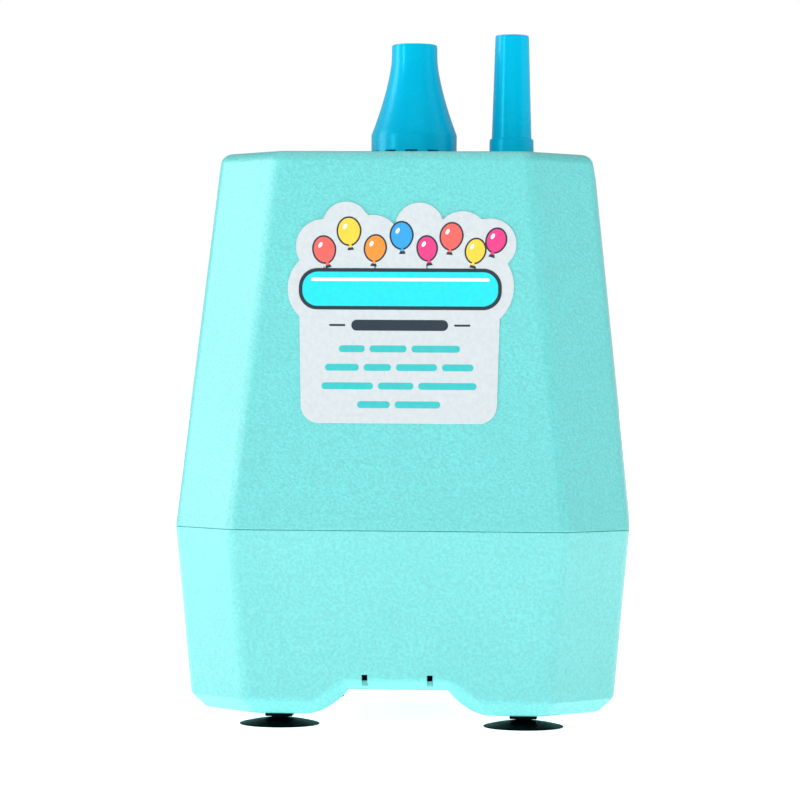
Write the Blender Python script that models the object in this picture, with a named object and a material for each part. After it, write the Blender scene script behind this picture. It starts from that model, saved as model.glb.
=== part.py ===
"""Electric balloon inflator: a two-part moulded housing on suction cups, a fan motor inside it and
two press-to-blow nozzles on top.

Units are metres and +Z is up.  The front, with the label, faces -Y.  Heights in this file are
measured from a datum plane under the housing; main() ends by lowering the whole inflator so that the
rims of the suction cups stand on Z = 0, with the origin under the middle of the housing.
"""

import math

import bmesh
import bpy
from mathutils import Matrix, Vector

# --- Driving dimensions ---------------------------------------------------------------------------

GAP = 0.0003                        # clearance kept between pieces that touch
WALL = 0.0024                       # moulded wall thickness

HOUSING_WIDTH = 0.1143              # across the seam, both ways
HOUSING_BOTTOM = 0.0050
SEAM = 0.0511
HOUSING_TOP = 0.1454
UPPER_TAPER = math.radians(6.1)
LOWER_TAPER = math.radians(5.0)
CORNER_CUT = 0.0155                 # leg of the 45 degree corner facets
CORNER_FILLET = 0.0045
TOP_ROUND = (0.0030, 0.0023)        # inset and height of the rounded top edge
BOTTOM_ROUND = (0.0042, 0.0034)     # the same for the edge round the foot
LIP_DEPTH = 0.0012                  # rebate of the upper shell at the seam
LIP_HEIGHT = 0.0022

TUNNEL_APEX = 0.0112                # air tunnel under the floor, front to rear
TUNNEL_FLAT = 0.0123
TUNNEL_END = 0.0253
TUNNEL_FLARE = 0.0034               # how far the tunnel opens up at its two mouths
NOTCH_X = 0.0081
NOTCH_WIDTH = 0.0015
NOTCH_DEPTH = 0.0030
NOTCH_HEIGHT = (0.0116, 0.0153)

CUP_RIM = 0.0012                    # height of the cups' rims above the datum plane
CUP_X = 0.0308
CUP_Y = 0.0370
CUP_RADIUS = 0.0101

BOSS_X = 0.0440
BOSS_Y = 0.0240
BOSS_RADIUS = 0.0042
SCREW_RADIUS = 0.0013
SCREW_HEAD_RADIUS = 0.0028
SCREW_HEAD_SEAT = 0.0170
SCREW_TIP = 0.0620

GLAND_X = -0.0300
GLAND_Z = 0.0240
GLAND_BORE = 0.0032
GLAND_BODY = 0.0042

SEAT_INNER = 0.0300                 # ring on the floor that the fan stands on
SEAT_OUTER = 0.0350
SEAT_TOP = 0.0150

CASING_INNER = 0.0423
CASING_OUTER = 0.0443
CASING_BOTTOM = 0.0373
CASING_TOP = 0.1307

SHAFT_RADIUS = 0.0037
SHAFT_BOTTOM = 0.0192
SHAFT_TOP = 0.1095
BEARING_OUTER = 0.0110
BEARING_HEIGHT = 0.0070
ARMATURE_RADIUS = 0.0174
STACK_BOTTOM = 0.0500               # laminated stack of the stator and the armature
STACK_TOP = 0.0800

LID_BOTTOM = 0.1330                 # valve block over the motor casing
LID_TOP = 0.1350
LID_RADIUS = 0.0443
FLANGE_BOTTOM = 0.1410              # retaining flange of both nozzles
FLANGE_TOP = 0.1427
SMALL_X = 0.0256                    # the small nozzle stands beside the large one

LARGE_TIP = 0.1760
LARGE_TIP_RADIUS = 0.0060
LARGE_FOOT_RADIUS = 0.0112
LARGE_FLARE_TOP = 0.1722
LARGE_FLARE_BOTTOM = 0.1523
LARGE_FLANGE_RADIUS = 0.0130
LARGE_STEM = (0.0038, 0.0053)       # inner and outer radius
SMALL_TIP = 0.1785
SMALL_TIP_RADIUS = 0.0044
SMALL_FOOT_RADIUS = 0.0052
SMALL_COLLAR_TOP = 0.1513
SMALL_FLANGE_RADIUS = 0.0076
SMALL_STEM = (0.0027, 0.0040)

LEVER_PIVOT_Y = 0.0140
LEVER_PIVOT_Z = 0.1246
PUSHER_RADIUS = 0.0015

COARSE = 16                         # sides of the small round pieces
FINE = 24                           # sides of the large round pieces and the nozzles


# --- Materials ------------------------------------------------------------------------------------

def finish(name, colour, roughness, metallic=0.0):
    """A Principled material; colour is linear RGB."""
    material = bpy.data.materials.get(name)
    if material is None:
        material = bpy.data.materials.new(name)
        material.use_nodes = True
        shader = material.node_tree.nodes["Principled BSDF"]
        shader.inputs["Base Color"].default_value = (*colour, 1.0)
        shader.inputs["Roughness"].default_value = roughness
        shader.inputs["Metallic"].default_value = metallic
        material.diffuse_color = (*colour, 1.0)
    return material


def teal_plastic():
    return finish("teal_plastic", (0.22, 0.80, 0.82), 0.55)


def blue_plastic():
    return finish("blue_plastic", (0.0, 0.62, 0.88), 0.30)


def black_rubber():
    return finish("black_rubber", (0.012, 0.016, 0.018), 0.60)


def black_plastic():
    return finish("black_plastic", (0.02, 0.02, 0.022), 0.45)


def white_plastic():
    return finish("white_plastic", (0.72, 0.71, 0.67), 0.45)


def label_film():
    return finish("label_film", (0.78, 0.84, 0.86), 0.45)


def bright_steel():
    return finish("bright_steel", (0.60, 0.60, 0.60), 0.28, 1.0)


def core_steel():
    return finish("core_steel", (0.30, 0.31, 0.33), 0.42, 1.0)


def zinc_steel():
    return finish("zinc_steel", (0.62, 0.63, 0.62), 0.35, 1.0)


def fan_aluminium():
    return finish("fan_aluminium", (0.80, 0.80, 0.81), 0.35, 1.0)


def copper_wire():
    return finish("copper_wire", (0.72, 0.26, 0.12), 0.35, 1.0)


def brass():
    return finish("brass", (0.78, 0.57, 0.22), 0.32, 1.0)


def carbon():
    return finish("carbon", (0.03, 0.03, 0.032), 0.70)


def capacitor_box():
    return finish("capacitor_box", (0.75, 0.42, 0.05), 0.45)


# --- Solids ---------------------------------------------------------------------------------------

def skin(solid, rings, closed):
    """Joins rings of vertices one to the next.  An open run is capped at both ends."""
    count = len(rings[0])
    pairs = list(zip(rings, rings[1:]))
    if closed:
        pairs.append((rings[-1], rings[0]))
    for lower, upper in pairs:
        for i in range(count):
            j = (i + 1) % count
            solid.faces.new((lower[i], lower[j], upper[j], upper[i]))
    if not closed:
        solid.faces.new(list(reversed(rings[0])))
        solid.faces.new(rings[-1])


def loft(sections):
    """A closed solid through sections that all have the same number of points."""
    solid = bmesh.new()
    rings = [[solid.verts.new(point) for point in section] for section in sections]
    skin(solid, rings, False)
    bmesh.ops.recalc_face_normals(solid, faces=solid.faces)
    return solid


def prism(outline, low, high):
    """An outline of (x, y) points extruded from z = low to z = high."""
    return loft([[(x, y, z) for x, y in outline] for z in (low, high)])


def box(x, y, z):
    """A box between the two values of x, of y and of z."""
    return prism([(x[0], y[0]), (x[1], y[0]), (x[1], y[1]), (x[0], y[1])], z[0], z[1])


def turned(profile, sides=COARSE, centre=(0.0, 0.0)):
    """A profile of (radius, z) points turned about a vertical axis.

    A profile that starts and ends at radius 0 makes a plain turned body, and any other is a loop
    that makes a ring with a bore.
    """
    solid = bmesh.new()
    on_axis = profile[0][0] == 0.0
    rim = profile[1:-1] if on_axis else profile
    rings = []
    for radius, z in rim:
        ring = []
        for i in range(sides):
            angle = 2 * math.pi * (i + 0.5) / sides
            x = centre[0] + radius * math.cos(angle)
            y = centre[1] + radius * math.sin(angle)
            ring.append(solid.verts.new((x, y, z)))
        rings.append(ring)
    if on_axis:
        for lower, upper in zip(rings, rings[1:]):
            for i in range(sides):
                j = (i + 1) % sides
                solid.faces.new((lower[i], lower[j], upper[j], upper[i]))
        for ring, z in ((rings[0], profile[0][1]), (rings[-1], profile[-1][1])):
            tip = solid.verts.new((centre[0], centre[1], z))
            for i in range(sides):
                solid.faces.new((ring[i], ring[(i + 1) % sides], tip))
    else:
        skin(solid, rings, True)
    bmesh.ops.recalc_face_normals(solid, faces=solid.faces)
    return solid


def rod(radius, low, high, centre=(0.0, 0.0), sides=COARSE):
    """A plain vertical cylinder."""
    circle = []
    for i in range(sides):
        angle = 2 * math.pi * (i + 0.5) / sides
        circle.append((centre[0] + radius * math.cos(angle), centre[1] + radius * math.sin(angle)))
    return prism(circle, low, high)


def tube(inner, outer, low, high, centre=(0.0, 0.0), sides=COARSE):
    """A plain vertical tube."""
    return turned([(outer, low), (outer, high), (inner, high), (inner, low)], sides, centre)


def moved(solid, matrix):
    solid.transform(matrix)
    return solid


def together(*solids):
    """Several solids as one mesh, to unite or to cut in one step."""
    whole = bmesh.new()
    for solid in solids:
        mesh = bpy.data.meshes.new("step")
        solid.to_mesh(mesh)
        solid.free()
        whole.from_mesh(mesh)
        bpy.data.meshes.remove(mesh)
    return whole


# --- Pieces ---------------------------------------------------------------------------------------

def axis_empty(name, location):
    """An empty on a joint's axis, which the moving pieces are parented to."""
    empty = bpy.data.objects.new(name, None)
    empty.location = location
    bpy.context.collection.objects.link(empty)
    return empty


def piece(name, solid, material, axis=None):
    """A named object made of one solid, parented to its joint's empty if it moves."""
    if axis is not None:
        solid.transform(Matrix.Translation(-axis.location))
    mesh = bpy.data.meshes.new(name)
    solid.to_mesh(mesh)
    solid.free()
    mesh.materials.append(material)
    item = bpy.data.objects.new(name, mesh)
    item.parent = axis
    bpy.context.collection.objects.link(item)
    return item


def shade(item):
    item.data.shade_smooth()
    item.data.set_sharp_from_angle(angle=math.radians(35))


def combine(item, solid, operation):
    """Unites a solid with a piece or cuts it from the piece."""
    tool = piece("tool", solid, item.data.materials[0], item.parent)
    step = item.modifiers.new("step", "BOOLEAN")
    step.operation = operation
    step.solver = "EXACT"
    step.object = tool
    bpy.context.view_layer.update()
    result = bpy.data.meshes.new_from_object(item.evaluated_get(bpy.context.evaluated_depsgraph_get()))
    item.modifiers.clear()
    plain = item.data
    item.data = result
    name = plain.name
    bpy.data.meshes.remove(plain)
    result.name = name
    tool_mesh = tool.data
    bpy.data.objects.remove(tool)
    bpy.data.meshes.remove(tool_mesh)


def unite(item, *solids):
    for solid in solids:
        combine(item, solid, "UNION")


def cut(item, *solids):
    for solid in solids:
        combine(item, solid, "DIFFERENCE")


# --- Housing --------------------------------------------------------------------------------------

def half_width(z):
    """Half the housing's width at height z.  It is widest at the seam."""
    if z >= SEAM:
        return HOUSING_WIDTH / 2 - (z - SEAM) * math.tan(UPPER_TAPER)
    return HOUSING_WIDTH / 2 - (SEAM - z) * math.tan(LOWER_TAPER)


def housing_ring(inset, z):
    """A ring of the housing: a square with 45 degree corner cuts, each of its edges rounded."""
    half = half_width(z) - inset
    reach = half - (CORNER_CUT - inset * (2 - math.sqrt(2)))
    eighth = math.pi / 8
    setback = CORNER_FILLET * math.tan(eighth)
    sink = CORNER_FILLET * (1 / math.cos(eighth) - 1)
    ring = []
    for quarter in range(4):
        turn = Matrix.Rotation(quarter * math.pi / 2, 3, "Z")
        for corner, before, after in (
            (Vector((half, reach, 0)), Vector((0, -1, 0)), Vector((-1, 1, 0)).normalized()),
            (Vector((reach, half, 0)), Vector((1, -1, 0)).normalized(), Vector((-1, 0, 0))),
        ):
            inward = (before + after).normalized()
            for point in (corner + before * setback, corner + inward * sink, corner + after * setback):
                spot = turn @ point
                ring.append((spot.x, spot.y, z))
    return ring


def rounded_edge(inset, height, z_side, direction, steps=3):
    """Rings of a quarter-round edge, from the side wall towards the top (+1) or the bottom (-1)."""
    rings = []
    for step in range(steps + 1):
        angle = math.pi / 2 * step / steps
        z = z_side + direction * height * math.sin(angle)
        rings.append(housing_ring(inset * (1 - math.cos(angle)), z))
    return rings


def arch(apex, flat, end, base, y, floor):
    """A section of the air tunnel at y: flat on top and flared to the sides."""
    steps = 5
    side = []
    for step in range(steps + 1):
        part = step / steps
        side.append((flat + (end - flat) * part, base + (apex - base) * (1 - part) ** 2.3))
    right = side + [(end, floor)]
    left = [(-x, z) for x, z in reversed(right)]
    return [(x, y, z) for x, z in left + right]


def tunnel_cutter():
    inner = HOUSING_BOTTOM - 0.0002
    reach = half_width(HOUSING_BOTTOM) - BOTTOM_ROUND[0]
    mouth = reach + 0.0070
    floor = HOUSING_BOTTOM - 0.0040
    opened = TUNNEL_FLARE * 1.6
    sections = []
    for y, grow in ((-mouth, 1), (-reach, 0), (reach, 0), (mouth, 1)):
        sections.append(arch(TUNNEL_APEX + opened * grow, TUNNEL_FLAT + 0.0016 * grow,
                             TUNNEL_END + 0.0018 * grow, inner + 0.0051 * grow, y, floor))
    return loft(sections)


def at_four(x, y, solid_at):
    """The same solid at the four mirrored places."""
    return together(*[solid_at((sx * x, sy * y)) for sx in (-1, 1) for sy in (-1, 1)])


def terminal_post(centre=(-0.0380, 0.0340)):
    return rod(0.0022, HOUSING_BOTTOM + WALL - 0.0007, 0.0297, centre, 12)


def lower_housing():
    floor_top = HOUSING_BOTTOM + WALL
    outside = rounded_edge(BOTTOM_ROUND[0], BOTTOM_ROUND[1], HOUSING_BOTTOM + BOTTOM_ROUND[1], -1)
    lip = LIP_DEPTH + GAP
    rings = list(reversed(outside))
    rings += [housing_ring(0, SEAM), housing_ring(lip, SEAM), housing_ring(lip, SEAM + LIP_HEIGHT)]
    rings += [housing_ring(WALL, SEAM + LIP_HEIGHT), housing_ring(WALL, floor_top + 0.0014)]
    rings += [housing_ring(WALL + 0.0016, floor_top)]
    item = piece("lower_housing", loft(rings), teal_plastic())
    rear = half_width(TUNNEL_APEX) - 0.0020
    ceiling = [arch(TUNNEL_APEX + WALL, TUNNEL_FLAT + 0.0015, TUNNEL_END + 0.0025, floor_top - 0.0002, y, floor_top - 0.0010)
               for y in (-rear, rear)]
    unite(item, loft(ceiling))
    unite(item, tube(SEAT_INNER, SEAT_OUTER, floor_top - 0.0006, SEAT_TOP, sides=FINE))
    bosses = at_four(BOSS_X, BOSS_Y, lambda c: rod(BOSS_RADIUS, floor_top - 0.0007, SEAM - 0.0004, c, 12))
    unite(item, bosses, terminal_post())
    cut(item, tunnel_cutter())
    cut(item, box((-0.0105, 0.0105), (-0.0240, 0.0240), (TUNNEL_APEX - 0.0010, 0.0147)))
    below = HOUSING_BOTTOM - 0.0010
    cut(item, at_four(BOSS_X, BOSS_Y, lambda c: rod(0.0032, below, SCREW_HEAD_SEAT, c, 12)))
    hole = SCREW_RADIUS + 0.0004
    cut(item, at_four(BOSS_X, BOSS_Y, lambda c: rod(hole, below + 0.0005, SEAM + 0.0010, c, 12)))
    cut(item, at_four(CUP_X, CUP_Y, lambda c: rod(0.0025, below, floor_top + 0.0010, c, 12)))
    cut(item, gland_hole())
    front = half_width(TUNNEL_APEX)
    notch = [box((x - NOTCH_WIDTH / 2, x + NOTCH_WIDTH / 2), (-front - 0.0010, NOTCH_DEPTH - front),
                 NOTCH_HEIGHT) for x in (-NOTCH_X, NOTCH_X)]
    cut(item, together(*notch))
    shade(item)


def upper_housing():
    inner_top = HOUSING_TOP - WALL
    rim = SEAM + GAP
    lip_top = SEAM + LIP_HEIGHT + GAP
    rings = list(reversed(rounded_edge(TOP_ROUND[0], TOP_ROUND[1], HOUSING_TOP - TOP_ROUND[1], 1)))
    rings += [housing_ring(0, rim), housing_ring(LIP_DEPTH, rim), housing_ring(LIP_DEPTH, lip_top)]
    rings += [housing_ring(WALL, lip_top), housing_ring(WALL, inner_top - 0.0010)]
    rings += [housing_ring(WALL + 0.0010, inner_top)]
    item = piece("upper_housing", loft(rings), teal_plastic())
    boss_top = 0.0700
    bosses = at_four(BOSS_X, BOSS_Y, lambda c: rod(BOSS_RADIUS, SEAM, boss_top, c, 12))
    unite(item, bosses)
    ribs = [box(tuple(sorted((sx * BOSS_X, sx * 0.0545))),
                (sy * BOSS_Y - 0.0010, sy * BOSS_Y + 0.0010), (0.0560, boss_top - 0.0010))
            for sx in (-1, 1) for sy in (-1, 1)]
    unite(item, together(*ribs))
    unite(item, at_four(0.0275, 0.0275, lambda c: rod(0.0030, LID_TOP + GAP, inner_top + 0.0010, c, 12)))
    pilot = SCREW_RADIUS + 0.0003
    cut(item, at_four(BOSS_X, BOSS_Y, lambda c: rod(pilot, SEAM - 0.0010, 0.0640, c, 12)))
    cut(item, rod(LARGE_FOOT_RADIUS + 0.0004, inner_top - 0.0010, HOUSING_TOP + 0.0010, sides=FINE))
    cut(item, rod(0.00625, inner_top - 0.0010, HOUSING_TOP + 0.0010, (SMALL_X, 0), COARSE))
    shade(item)


def gland_turn():
    """Turns a solid that was made upright at the origin so that it points out of the rear wall."""
    return Matrix.Translation((GLAND_X, 0, GLAND_Z)) @ Matrix.Rotation(-math.pi / 2, 4, "X")


def gland_hole():
    wall = half_width(GLAND_Z)
    return moved(rod(GLAND_BODY + GAP, wall - 0.0060, wall + 0.0040, sides=20), gland_turn())


def cord_gland():
    """Bushing in the rear wall where the supply cord goes in."""
    wall = half_width(GLAND_Z)
    outer = wall + 0.0008
    inner = wall - WALL - 0.0008
    profile = [(GLAND_BORE, inner - 0.0014), (0.0056, inner - 0.0014), (0.0056, inner),
               (GLAND_BODY, inner), (GLAND_BODY, outer), (0.0057, outer), (0.0053, outer + 0.0014),
               (GLAND_BORE, outer + 0.0014)]
    shade(piece("cord_gland", moved(turned(profile, 20), gland_turn()), black_plastic()))


def suction_cups():
    """Four moulded cups, each with a plug that is pulled up through the floor."""
    floor_top = HOUSING_BOTTOM + WALL
    profile = [(0.0, CUP_RIM + 0.0009), (0.0050, CUP_RIM + 0.0007), (CUP_RADIUS - 0.0010, CUP_RIM),
               (CUP_RADIUS, CUP_RIM), (CUP_RADIUS, CUP_RIM + 0.0003), (0.0064, CUP_RIM + 0.0012),
               (0.0026, CUP_RIM + 0.0017), (0.0020, CUP_RIM + 0.0018), (0.0034, CUP_RIM + 0.0020),
               (0.0034, HOUSING_BOTTOM - GAP), (0.0021, HOUSING_BOTTOM - GAP),
               (0.0021, floor_top + GAP), (0.0034, floor_top + GAP), (0.0030, 0.0096), (0.0, 0.0100)]
    for side, x in (("left", -CUP_X), ("right", CUP_X)):
        for end, y in (("front", -CUP_Y), ("rear", CUP_Y)):
            shade(piece(f"suction_cup_{end}_{side}", turned(profile, 14, (x, y)), black_rubber()))


def housing_screws():
    """Screws driven up from under the lower shell into the bosses of the upper shell."""
    head = SCREW_HEAD_SEAT - GAP
    profile = [(0.0, head - 0.0022), (SCREW_HEAD_RADIUS, head - 0.0022), (SCREW_HEAD_RADIUS, head),
               (SCREW_RADIUS, head), (SCREW_RADIUS, SCREW_TIP - 0.0010), (0.0, SCREW_TIP)]
    for side, x in (("left", -BOSS_X), ("right", BOSS_X)):
        for end, y in (("front", -BOSS_Y), ("rear", BOSS_Y)):
            shade(piece(f"housing_screw_{end}_{side}", turned(profile, 12, (x, y)), zinc_steel()))


def intake_grille():
    """Slotted plate that drops into the window of the tunnel's ceiling."""
    flange = TUNNEL_APEX + WALL + GAP
    item = piece("intake_grille", box((-0.0102, 0.0102), (-0.0237, 0.0237), (TUNNEL_APEX + GAP, flange + 0.0005)),
                 black_plastic())
    unite(item, box((-0.0125, 0.0125), (-0.0260, 0.0260), (flange, flange + 0.0012)))
    slots = []
    for row in range(7):
        y = (row - 3) * 0.0064
        slots.append(box((-0.0085, 0.0085), (y - 0.0021, y + 0.0021), (0.0100, 0.0160)))
    cut(item, together(*slots))
    shade(item)


def cloud(steps=72):
    """Outline of the label's upper part: the outer edge of a ring of overlapping discs."""
    centre = Vector((0.0, 0.1130))
    discs = [(-0.0184, 0.1109, 0.0096), (-0.0194, 0.1214, 0.0067), (-0.0137, 0.1267, 0.0058),
             (-0.0069, 0.1224, 0.0068), (0.0046, 0.1263, 0.0060), (0.0153, 0.1236, 0.0066),
             (0.0223, 0.1220, 0.0064), (0.0174, 0.1114, 0.0108)]
    outline = []
    for step in range(steps + 1):
        angle = math.radians(-21 + 221 * step / steps)
        ray = Vector((math.cos(angle), math.sin(angle)))
        reach = 0.0
        for x, z, radius in discs:
            offset = Vector((x, z)) - centre
            along = offset.dot(ray)
            spare = radius ** 2 - (offset.length_squared - along ** 2)
            if spare > 0:
                reach = max(reach, along + math.sqrt(spare))
        outline.append(centre + ray * reach)
    return outline


def label_outline():
    """Rounded lower panel with the scalloped part above it, as (x, height up the face)."""
    half = 0.0243
    low = 0.0775
    corner = 0.0045
    panel = []
    for start, x in ((math.pi, -half + corner), (1.5 * math.pi, half - corner)):
        for step in range(5):
            angle = start + math.pi / 2 * step / 4
            panel.append(Vector((x + corner * math.cos(angle), low + corner + corner * math.sin(angle))))
    return panel + cloud(56)


def label_plate():
    """Film label on the sloping front face."""
    lift = 0.0002
    thick = 0.0004
    normal = Vector((0, -math.cos(UPPER_TAPER), math.sin(UPPER_TAPER)))
    sections = []
    for distance in (lift, lift + thick):
        section = []
        for x, z in label_outline():
            on_face = Vector((x, -half_width(z), z))
            section.append(on_face + normal * distance)
        sections.append(section)
    shade(piece("label_plate", loft(sections), label_film()))


# --- Nozzles and valves ---------------------------------------------------------------------------

def large_nozzle(axis):
    """Flared nozzle with a stem that carries its valve down through the valve block."""
    bore, stem = LARGE_STEM
    flare = LARGE_FLARE_TOP - LARGE_FLARE_BOTTOM
    grow = LARGE_FOOT_RADIUS - LARGE_TIP_RADIUS
    curve = []
    for step in range(6):
        part = 1 - step / 5
        curve.append((LARGE_TIP_RADIUS + grow * part ** 1.45, LARGE_FLARE_TOP - flare * part))
    ceiling = LARGE_FLARE_BOTTOM - 0.0024
    profile = [(0.0094, FLANGE_BOTTOM), (LARGE_FLANGE_RADIUS, FLANGE_BOTTOM),
               (LARGE_FLANGE_RADIUS, FLANGE_TOP), (LARGE_FOOT_RADIUS, FLANGE_TOP)]
    profile += curve
    profile += [(LARGE_TIP_RADIUS, LARGE_TIP - 0.0006), (LARGE_TIP_RADIUS - 0.0006, LARGE_TIP),
                (0.0047, LARGE_TIP), (0.0047, LARGE_TIP - 0.0100), (bore, LARGE_TIP - 0.0140),
                (bore, 0.1308), (stem, 0.1308), (stem, ceiling), (0.0094, ceiling)]
    item = piece("large_nozzle", turned(profile, FINE), blue_plastic(), axis)
    ports = [box((-0.0020, 0.0020), (-0.0080, 0.0080), (0.1333, 0.1363)),
             box((-0.0080, 0.0080), (-0.0020, 0.0020), (0.1333, 0.1363))]
    cut(item, *ports)
    windows = []
    for index in range(12):
        window = box((0.0087, 0.0120), (-0.0016, 0.0016), (0.1458, 0.1480))
        windows.append(moved(window, Matrix.Rotation(2 * math.pi * index / 12, 4, "Z")))
    cut(item, together(*windows))
    shade(item)


def small_nozzle(axis):
    """Straight nozzle beside the large one."""
    bore, stem = SMALL_STEM
    neck = 0.1385
    profile = [(stem, FLANGE_BOTTOM), (SMALL_FLANGE_RADIUS, FLANGE_BOTTOM),
               (SMALL_FLANGE_RADIUS, FLANGE_TOP), (0.00585, FLANGE_TOP), (0.0057, SMALL_COLLAR_TOP),
               (SMALL_FOOT_RADIUS, SMALL_COLLAR_TOP), (0.0048, 0.1640), (SMALL_TIP_RADIUS, SMALL_TIP - 0.0005),
               (SMALL_TIP_RADIUS - 0.0005, SMALL_TIP), (0.0033, SMALL_TIP), (0.0033, 0.1710),
               (bore, 0.1680), (bore, 0.1308), (stem, 0.1308), (stem, neck)]
    item = piece("small_nozzle", turned(profile, COARSE, (SMALL_X, 0)), blue_plastic(), axis)
    ports = [box((SMALL_X - 0.0014, SMALL_X + 0.0014), (-0.0060, 0.0060), (0.1333, 0.1363)),
             box((SMALL_X - 0.0060, SMALL_X + 0.0060), (-0.0014, 0.0014), (0.1333, 0.1363))]
    cut(item, *ports)
    shade(item)


def coil_spring(name, centre, coil_radius, wire_radius, low, high, turns):
    """Round-wire compression spring between the valve block and a nozzle's flange."""
    steps = 12
    sides = 5
    bottom = low + wire_radius
    top = high - wire_radius
    solid = bmesh.new()
    rings = []
    total = int(steps * turns)
    for step in range(total + 1):
        angle = 2 * math.pi * step / steps
        middle = Vector((centre[0], centre[1], bottom + (top - bottom) * step / total))
        out = Vector((math.cos(angle), math.sin(angle), 0))
        ring = []
        for side in range(sides):
            around = 2 * math.pi * side / sides
            spot = middle + out * (coil_radius + wire_radius * math.cos(around))
            ring.append(solid.verts.new(spot + Vector((0, 0, wire_radius * math.sin(around)))))
        rings.append(ring)
    skin(solid, rings, False)
    bmesh.ops.recalc_face_normals(solid, faces=solid.faces)
    shade(piece(name, solid, bright_steel()))


def nozzle_springs():
    low = LID_TOP + GAP
    high = FLANGE_BOTTOM - GAP
    coil_spring("large_nozzle_spring", (0, 0), 0.0112, 0.0005, low, high, 2)
    coil_spring("small_nozzle_spring", (SMALL_X, 0), 0.00675, 0.00035, low, high, 3)


def valve(name, axis, centre, disc_radius, stem):
    """Disc that closes the stem, with a pusher for the switch lever, and the rubber seal above it."""
    bore, outer = stem
    profile = [(0.0, 0.1260), (PUSHER_RADIUS, 0.1260), (PUSHER_RADIUS, 0.1285), (disc_radius, 0.1285),
               (disc_radius, 0.1305), (bore - GAP, 0.1305), (bore - GAP, 0.1328), (0.0, 0.1328)]
    shade(piece(f"{name}_valve_disc", turned(profile, COARSE, centre), white_plastic(), axis))
    seal = tube(outer + GAP, disc_radius - 0.0003, 0.1308, LID_BOTTOM - GAP, centre)
    shade(piece(f"{name}_valve_seal", seal, black_rubber(), axis))


def valve_block():
    """Lid over the motor casing: two guide sleeves for the stems and a hanger for each switch."""
    item = piece("valve_block", rod(LID_RADIUS, LID_BOTTOM, LID_TOP, sides=FINE), white_plastic())
    large_guide = LARGE_STEM[1] + GAP
    small_guide = SMALL_STEM[1] + GAP
    unite(item, together(rod(0.0072, LID_TOP - 0.0010, 0.1460), rod(0.0059, LID_TOP - 0.0010, 0.1375,
                                                                     (SMALL_X, 0))))
    for x in (0.0, SMALL_X):
        unite(item, box((x - 0.0032, x + 0.0032), (0.0163, 0.0183), (0.1084, LID_BOTTOM + 0.0010)))
        unite(item, box((x - 0.0031, x + 0.0031), (0.0120, 0.0182), (0.1083, 0.1102)))
    cut(item, together(rod(large_guide, LID_BOTTOM - 0.0010, 0.1480),
                       rod(small_guide, LID_BOTTOM - 0.0010, 0.1400, (SMALL_X, 0))))
    shade(item)


def lying_rod(radius, x, y, z, sides=16):
    """A cylinder along X."""
    turn = Matrix.Translation((0, y, z)) @ Matrix.Rotation(math.pi / 2, 4, "Y")
    return moved(rod(radius, x[0], x[1], sides=sides), turn)


def switch(name, x, lever_axis):
    """Motor switch with a hinged lever, the lever's pin, and two ears that hold the pin."""
    body = box((x - 0.0032, x + 0.0032), (-0.0040, 0.0160), (0.1105, 0.1203))
    item = piece(f"{name}_switch", body, black_plastic())
    for low, high in ((x - 0.0032, x - 0.0022), (x + 0.0022, x + 0.0032)):
        unite(item, box((low, high), (0.0122, 0.0158), (0.1195, 0.1264)))
    cut(item, lying_rod(0.0009, (x - 0.0050, x + 0.0050), LEVER_PIVOT_Y, LEVER_PIVOT_Z, 12))
    pin = lying_rod(0.0006, (x - 0.0034, x + 0.0034), LEVER_PIVOT_Y, LEVER_PIVOT_Z, 8)
    shade(piece(f"{name}_switch_pin", pin, bright_steel()))
    shade(item)
    strip = box((-0.0018, 0.0018), (-0.0160, 0.0006), (0.0003, 0.0011))
    lever = piece(f"{name}_switch_lever", moved(strip, Matrix.Translation(lever_axis.location)),
                  zinc_steel(), lever_axis)
    unite(lever, lying_rod(0.0014, (x - 0.0019, x + 0.0019), LEVER_PIVOT_Y, LEVER_PIVOT_Z, 12))
    cut(lever, lying_rod(0.0009, (x - 0.0030, x + 0.0030), LEVER_PIVOT_Y, LEVER_PIVOT_Z, 12))
    shade(lever)


# --- Motor and fan --------------------------------------------------------------------------------

def motor_casing():
    shade(piece("motor_casing", tube(CASING_INNER, CASING_OUTER, CASING_BOTTOM, CASING_TOP, sides=FINE),
                white_plastic()))


def gaskets():
    """Rubber rings: under the fan shroud, and between the casing and the valve block."""
    lower = tube(SEAT_INNER + GAP, SEAT_OUTER - GAP, SEAT_TOP + GAP, 0.0180, sides=FINE)
    shade(piece("lower_gasket", lower, black_rubber()))
    upper = tube(CASING_INNER, CASING_OUTER, CASING_TOP + GAP, LID_BOTTOM - GAP, sides=FINE)
    shade(piece("upper_gasket", upper, black_rubber()))


def fan_shroud():
    """Cup round the impeller, with the intake eye in its floor and a flange for the casing."""
    profile = [(0.0150, 0.0183), (0.0420, 0.0183), (0.0420, 0.0350), (CASING_OUTER, 0.0350),
               (CASING_OUTER, 0.0370), (0.0405, 0.0370), (0.0405, 0.0198), (0.0150, 0.0198)]
    shade(piece("fan_shroud", turned(profile, FINE), black_plastic()))


def impeller(axis):
    """Fan wheel: a back plate and hub with curved blades."""
    hub = [(0.0040, 0.0222), (0.0075, 0.0222), (0.0085, 0.0300), (0.0382, 0.0300), (0.0382, 0.0313),
           (0.0040, 0.0313)]
    item = piece("impeller", turned(hub, FINE), fan_aluminium(), axis)
    blades = []
    for index in range(10):
        turn = 2 * math.pi * index / 10
        left = []
        right = []
        for step in range(4):
            part = step / 3
            radius = 0.0150 + 0.0225 * part
            angle = turn - 0.75 * part
            half = 0.0005 / radius
            left.append((radius * math.cos(angle + half), radius * math.sin(angle + half)))
            right.append((radius * math.cos(angle - half), radius * math.sin(angle - half)))
        blades.append(prism(left + list(reversed(right)), 0.0215, 0.0305))
    unite(item, together(*blades))
    shade(item)


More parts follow.
